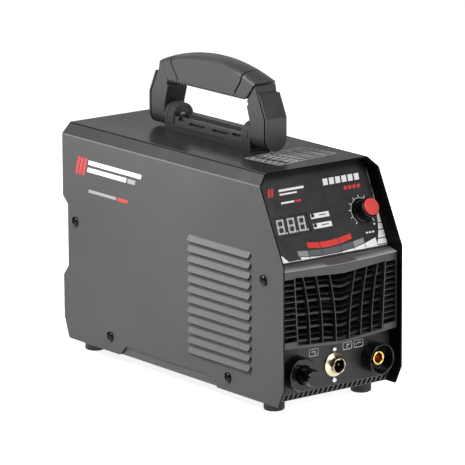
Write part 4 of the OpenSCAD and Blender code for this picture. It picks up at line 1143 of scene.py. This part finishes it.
def build_top_label():
    """A data label with an empty ruled table, on the cover's top."""
    film, line, row_height = 0.06, 0.45, 7.2
    lay = shift(6, 83.5, HEIGHT) @ turn(6.5, "Z")
    decals("top_label_film", [oblong(80, 54, 2)], "label_black", lay, "cover_paint", film)
    rules = [rect(-37, y, 37, y + line) for y in [22 - row_height * k for k in range(7)]]
    rules += [rect(x, -21.2, x + line, 22.4) for x in (-37, -20, -3, 10, 23.5, 36.6)]
    for row in range(6):
        for col, (x, w) in enumerate(((-35, 12), (-18, 10), (-1, 8), (12, 9), (25.5, 9))):
            if col > 1 and row:
                continue
            y = 17.4 - row_height * row
            width = w * (0.5 + 0.4 * abs(math.sin(3.1 * row + 1.7 * col)))
            rules.append(oblong(width, 1.1, 0.3, x + width / 2, y + 0.6, 1))
    up = lay @ shift(z=film)
    decals("top_label_rules", rules, "print_pale", up, "cover_paint", 0.05)


def build_socket_marks():
    """Small plain marks in frames over the three connectors."""
    w, h, line = 11, 7, 0.55
    frames = []
    for x, y in ((-22, 42.5), (17.8, 42.5), (31, 42.5)):
        outer, inner = oblong(w, h, 1.4, x, y), oblong(w - 2 * line, h - 2 * line, 1.0, x, y)
        frames.append(moved(flat_ring(outer, inner, GLYPH), FRONT))
    piece("socket_frames", joined(*frames), "front_plastic", width=0, paint="print_white")
    marks = [oblong(5, 1, 0.4, -22.5, 43.2), oblong(2.4, 0.9, 0.3, -20.4, 41.4),
             oblong(1, 3.4, 0.4, 17.4, 42.4), oblong(3, 0.9, 0.3, 19.4, 43.6), circle(0.8, 28.6, 42.4, 16),
             oblong(4.4, 1, 0.4, 32, 43.2)]
    decals("socket_marks", marks, "print_white", FRONT, "front_plastic")


# ------------------------------------------------------------------- stage


def make_floor():
    """A plain pale floor, just under the feet."""
    t = Tree("stage_paper")
    t.drive("Base Color", t.ramp(t.noise(3, 2), grey(0.93), grey(0.95)))
    t.fix("Roughness", 0.7)
    t.fix("Specular IOR Level", 0.2)
    t.fix("Emission Color", (1, 1, 1, 1))
    t.fix("Emission Strength", 0.85)
    mesh = bpy.data.meshes.new("stage_floor")
    rim = 6
    mesh.from_pydata(level(rect(-rim, -rim, rim, rim), 0), [], [(0, 1, 2, 3)])
    mesh.materials.append(t.mat)
    floor = linked("stage_floor", mesh)
    floor.location.z = CAD_BOX[0].z - 0.0001
    floor.visible_diffuse = False


# Name, place, target, size and power of each soft lamp
LAMPS = (
    ("key", (-0.42, 0.06, 0.52), (-0.05, 0.03, 0.16), (0.24, 0.3), 6.6),
    ("high_front", (0.1, -1.2, 1.0), (0, -0.1, 0.1), (0.7, 0.5), 11),
    ("low_front", (0.35, -1.4, 0.3), (0, -0.1, 0.1), (0.6, 0.4), 4.5),
    ("back_card", (1.0, 1.3, 0.85), (0, 0, 0.2), (1.2, 0.5), 1.3),
    ("right_fill", (1.1, 0.1, 0.4), (0, 0, 0.1), (0.7, 0.5), 7),
)
WORLD_LIGHT = 0.11


def make_lights():
    world = bpy.data.worlds.new("world")
    world.use_nodes = True
    background = world.node_tree.nodes["Background"]
    background.inputs[0].default_value = (1, 1, 1, 1)
    background.inputs[1].default_value = WORLD_LIGHT
    bpy.context.scene.world = world
    for name, at, aim, size, power in LAMPS:
        data = bpy.data.lights.new(name, "AREA")
        data.shape = "RECTANGLE"
        data.size, data.size_y = size
        data.energy = power
        lamp = linked(name, data)
        lamp.location = at
        lamp.rotation_mode = "QUATERNION"
        lamp.rotation_quaternion = (Vector(aim) - Vector(at)).to_track_quat("-Z", "Y")
        lamp.visible_camera = False
    bpy.context.scene.view_settings.view_transform = "Standard"


make_camera()
dress_cad_nodes()
build_cover()
build_cover_screws()
build_handle()
build_handle_base()
build_front_moulding()
build_grille_block()
build_grille_fins()
build_overlay()
build_knob()
build_connectors()
build_panel_print()
build_display()
build_side_print()
build_top_label()
build_socket_marks()
make_floor()
make_lights()
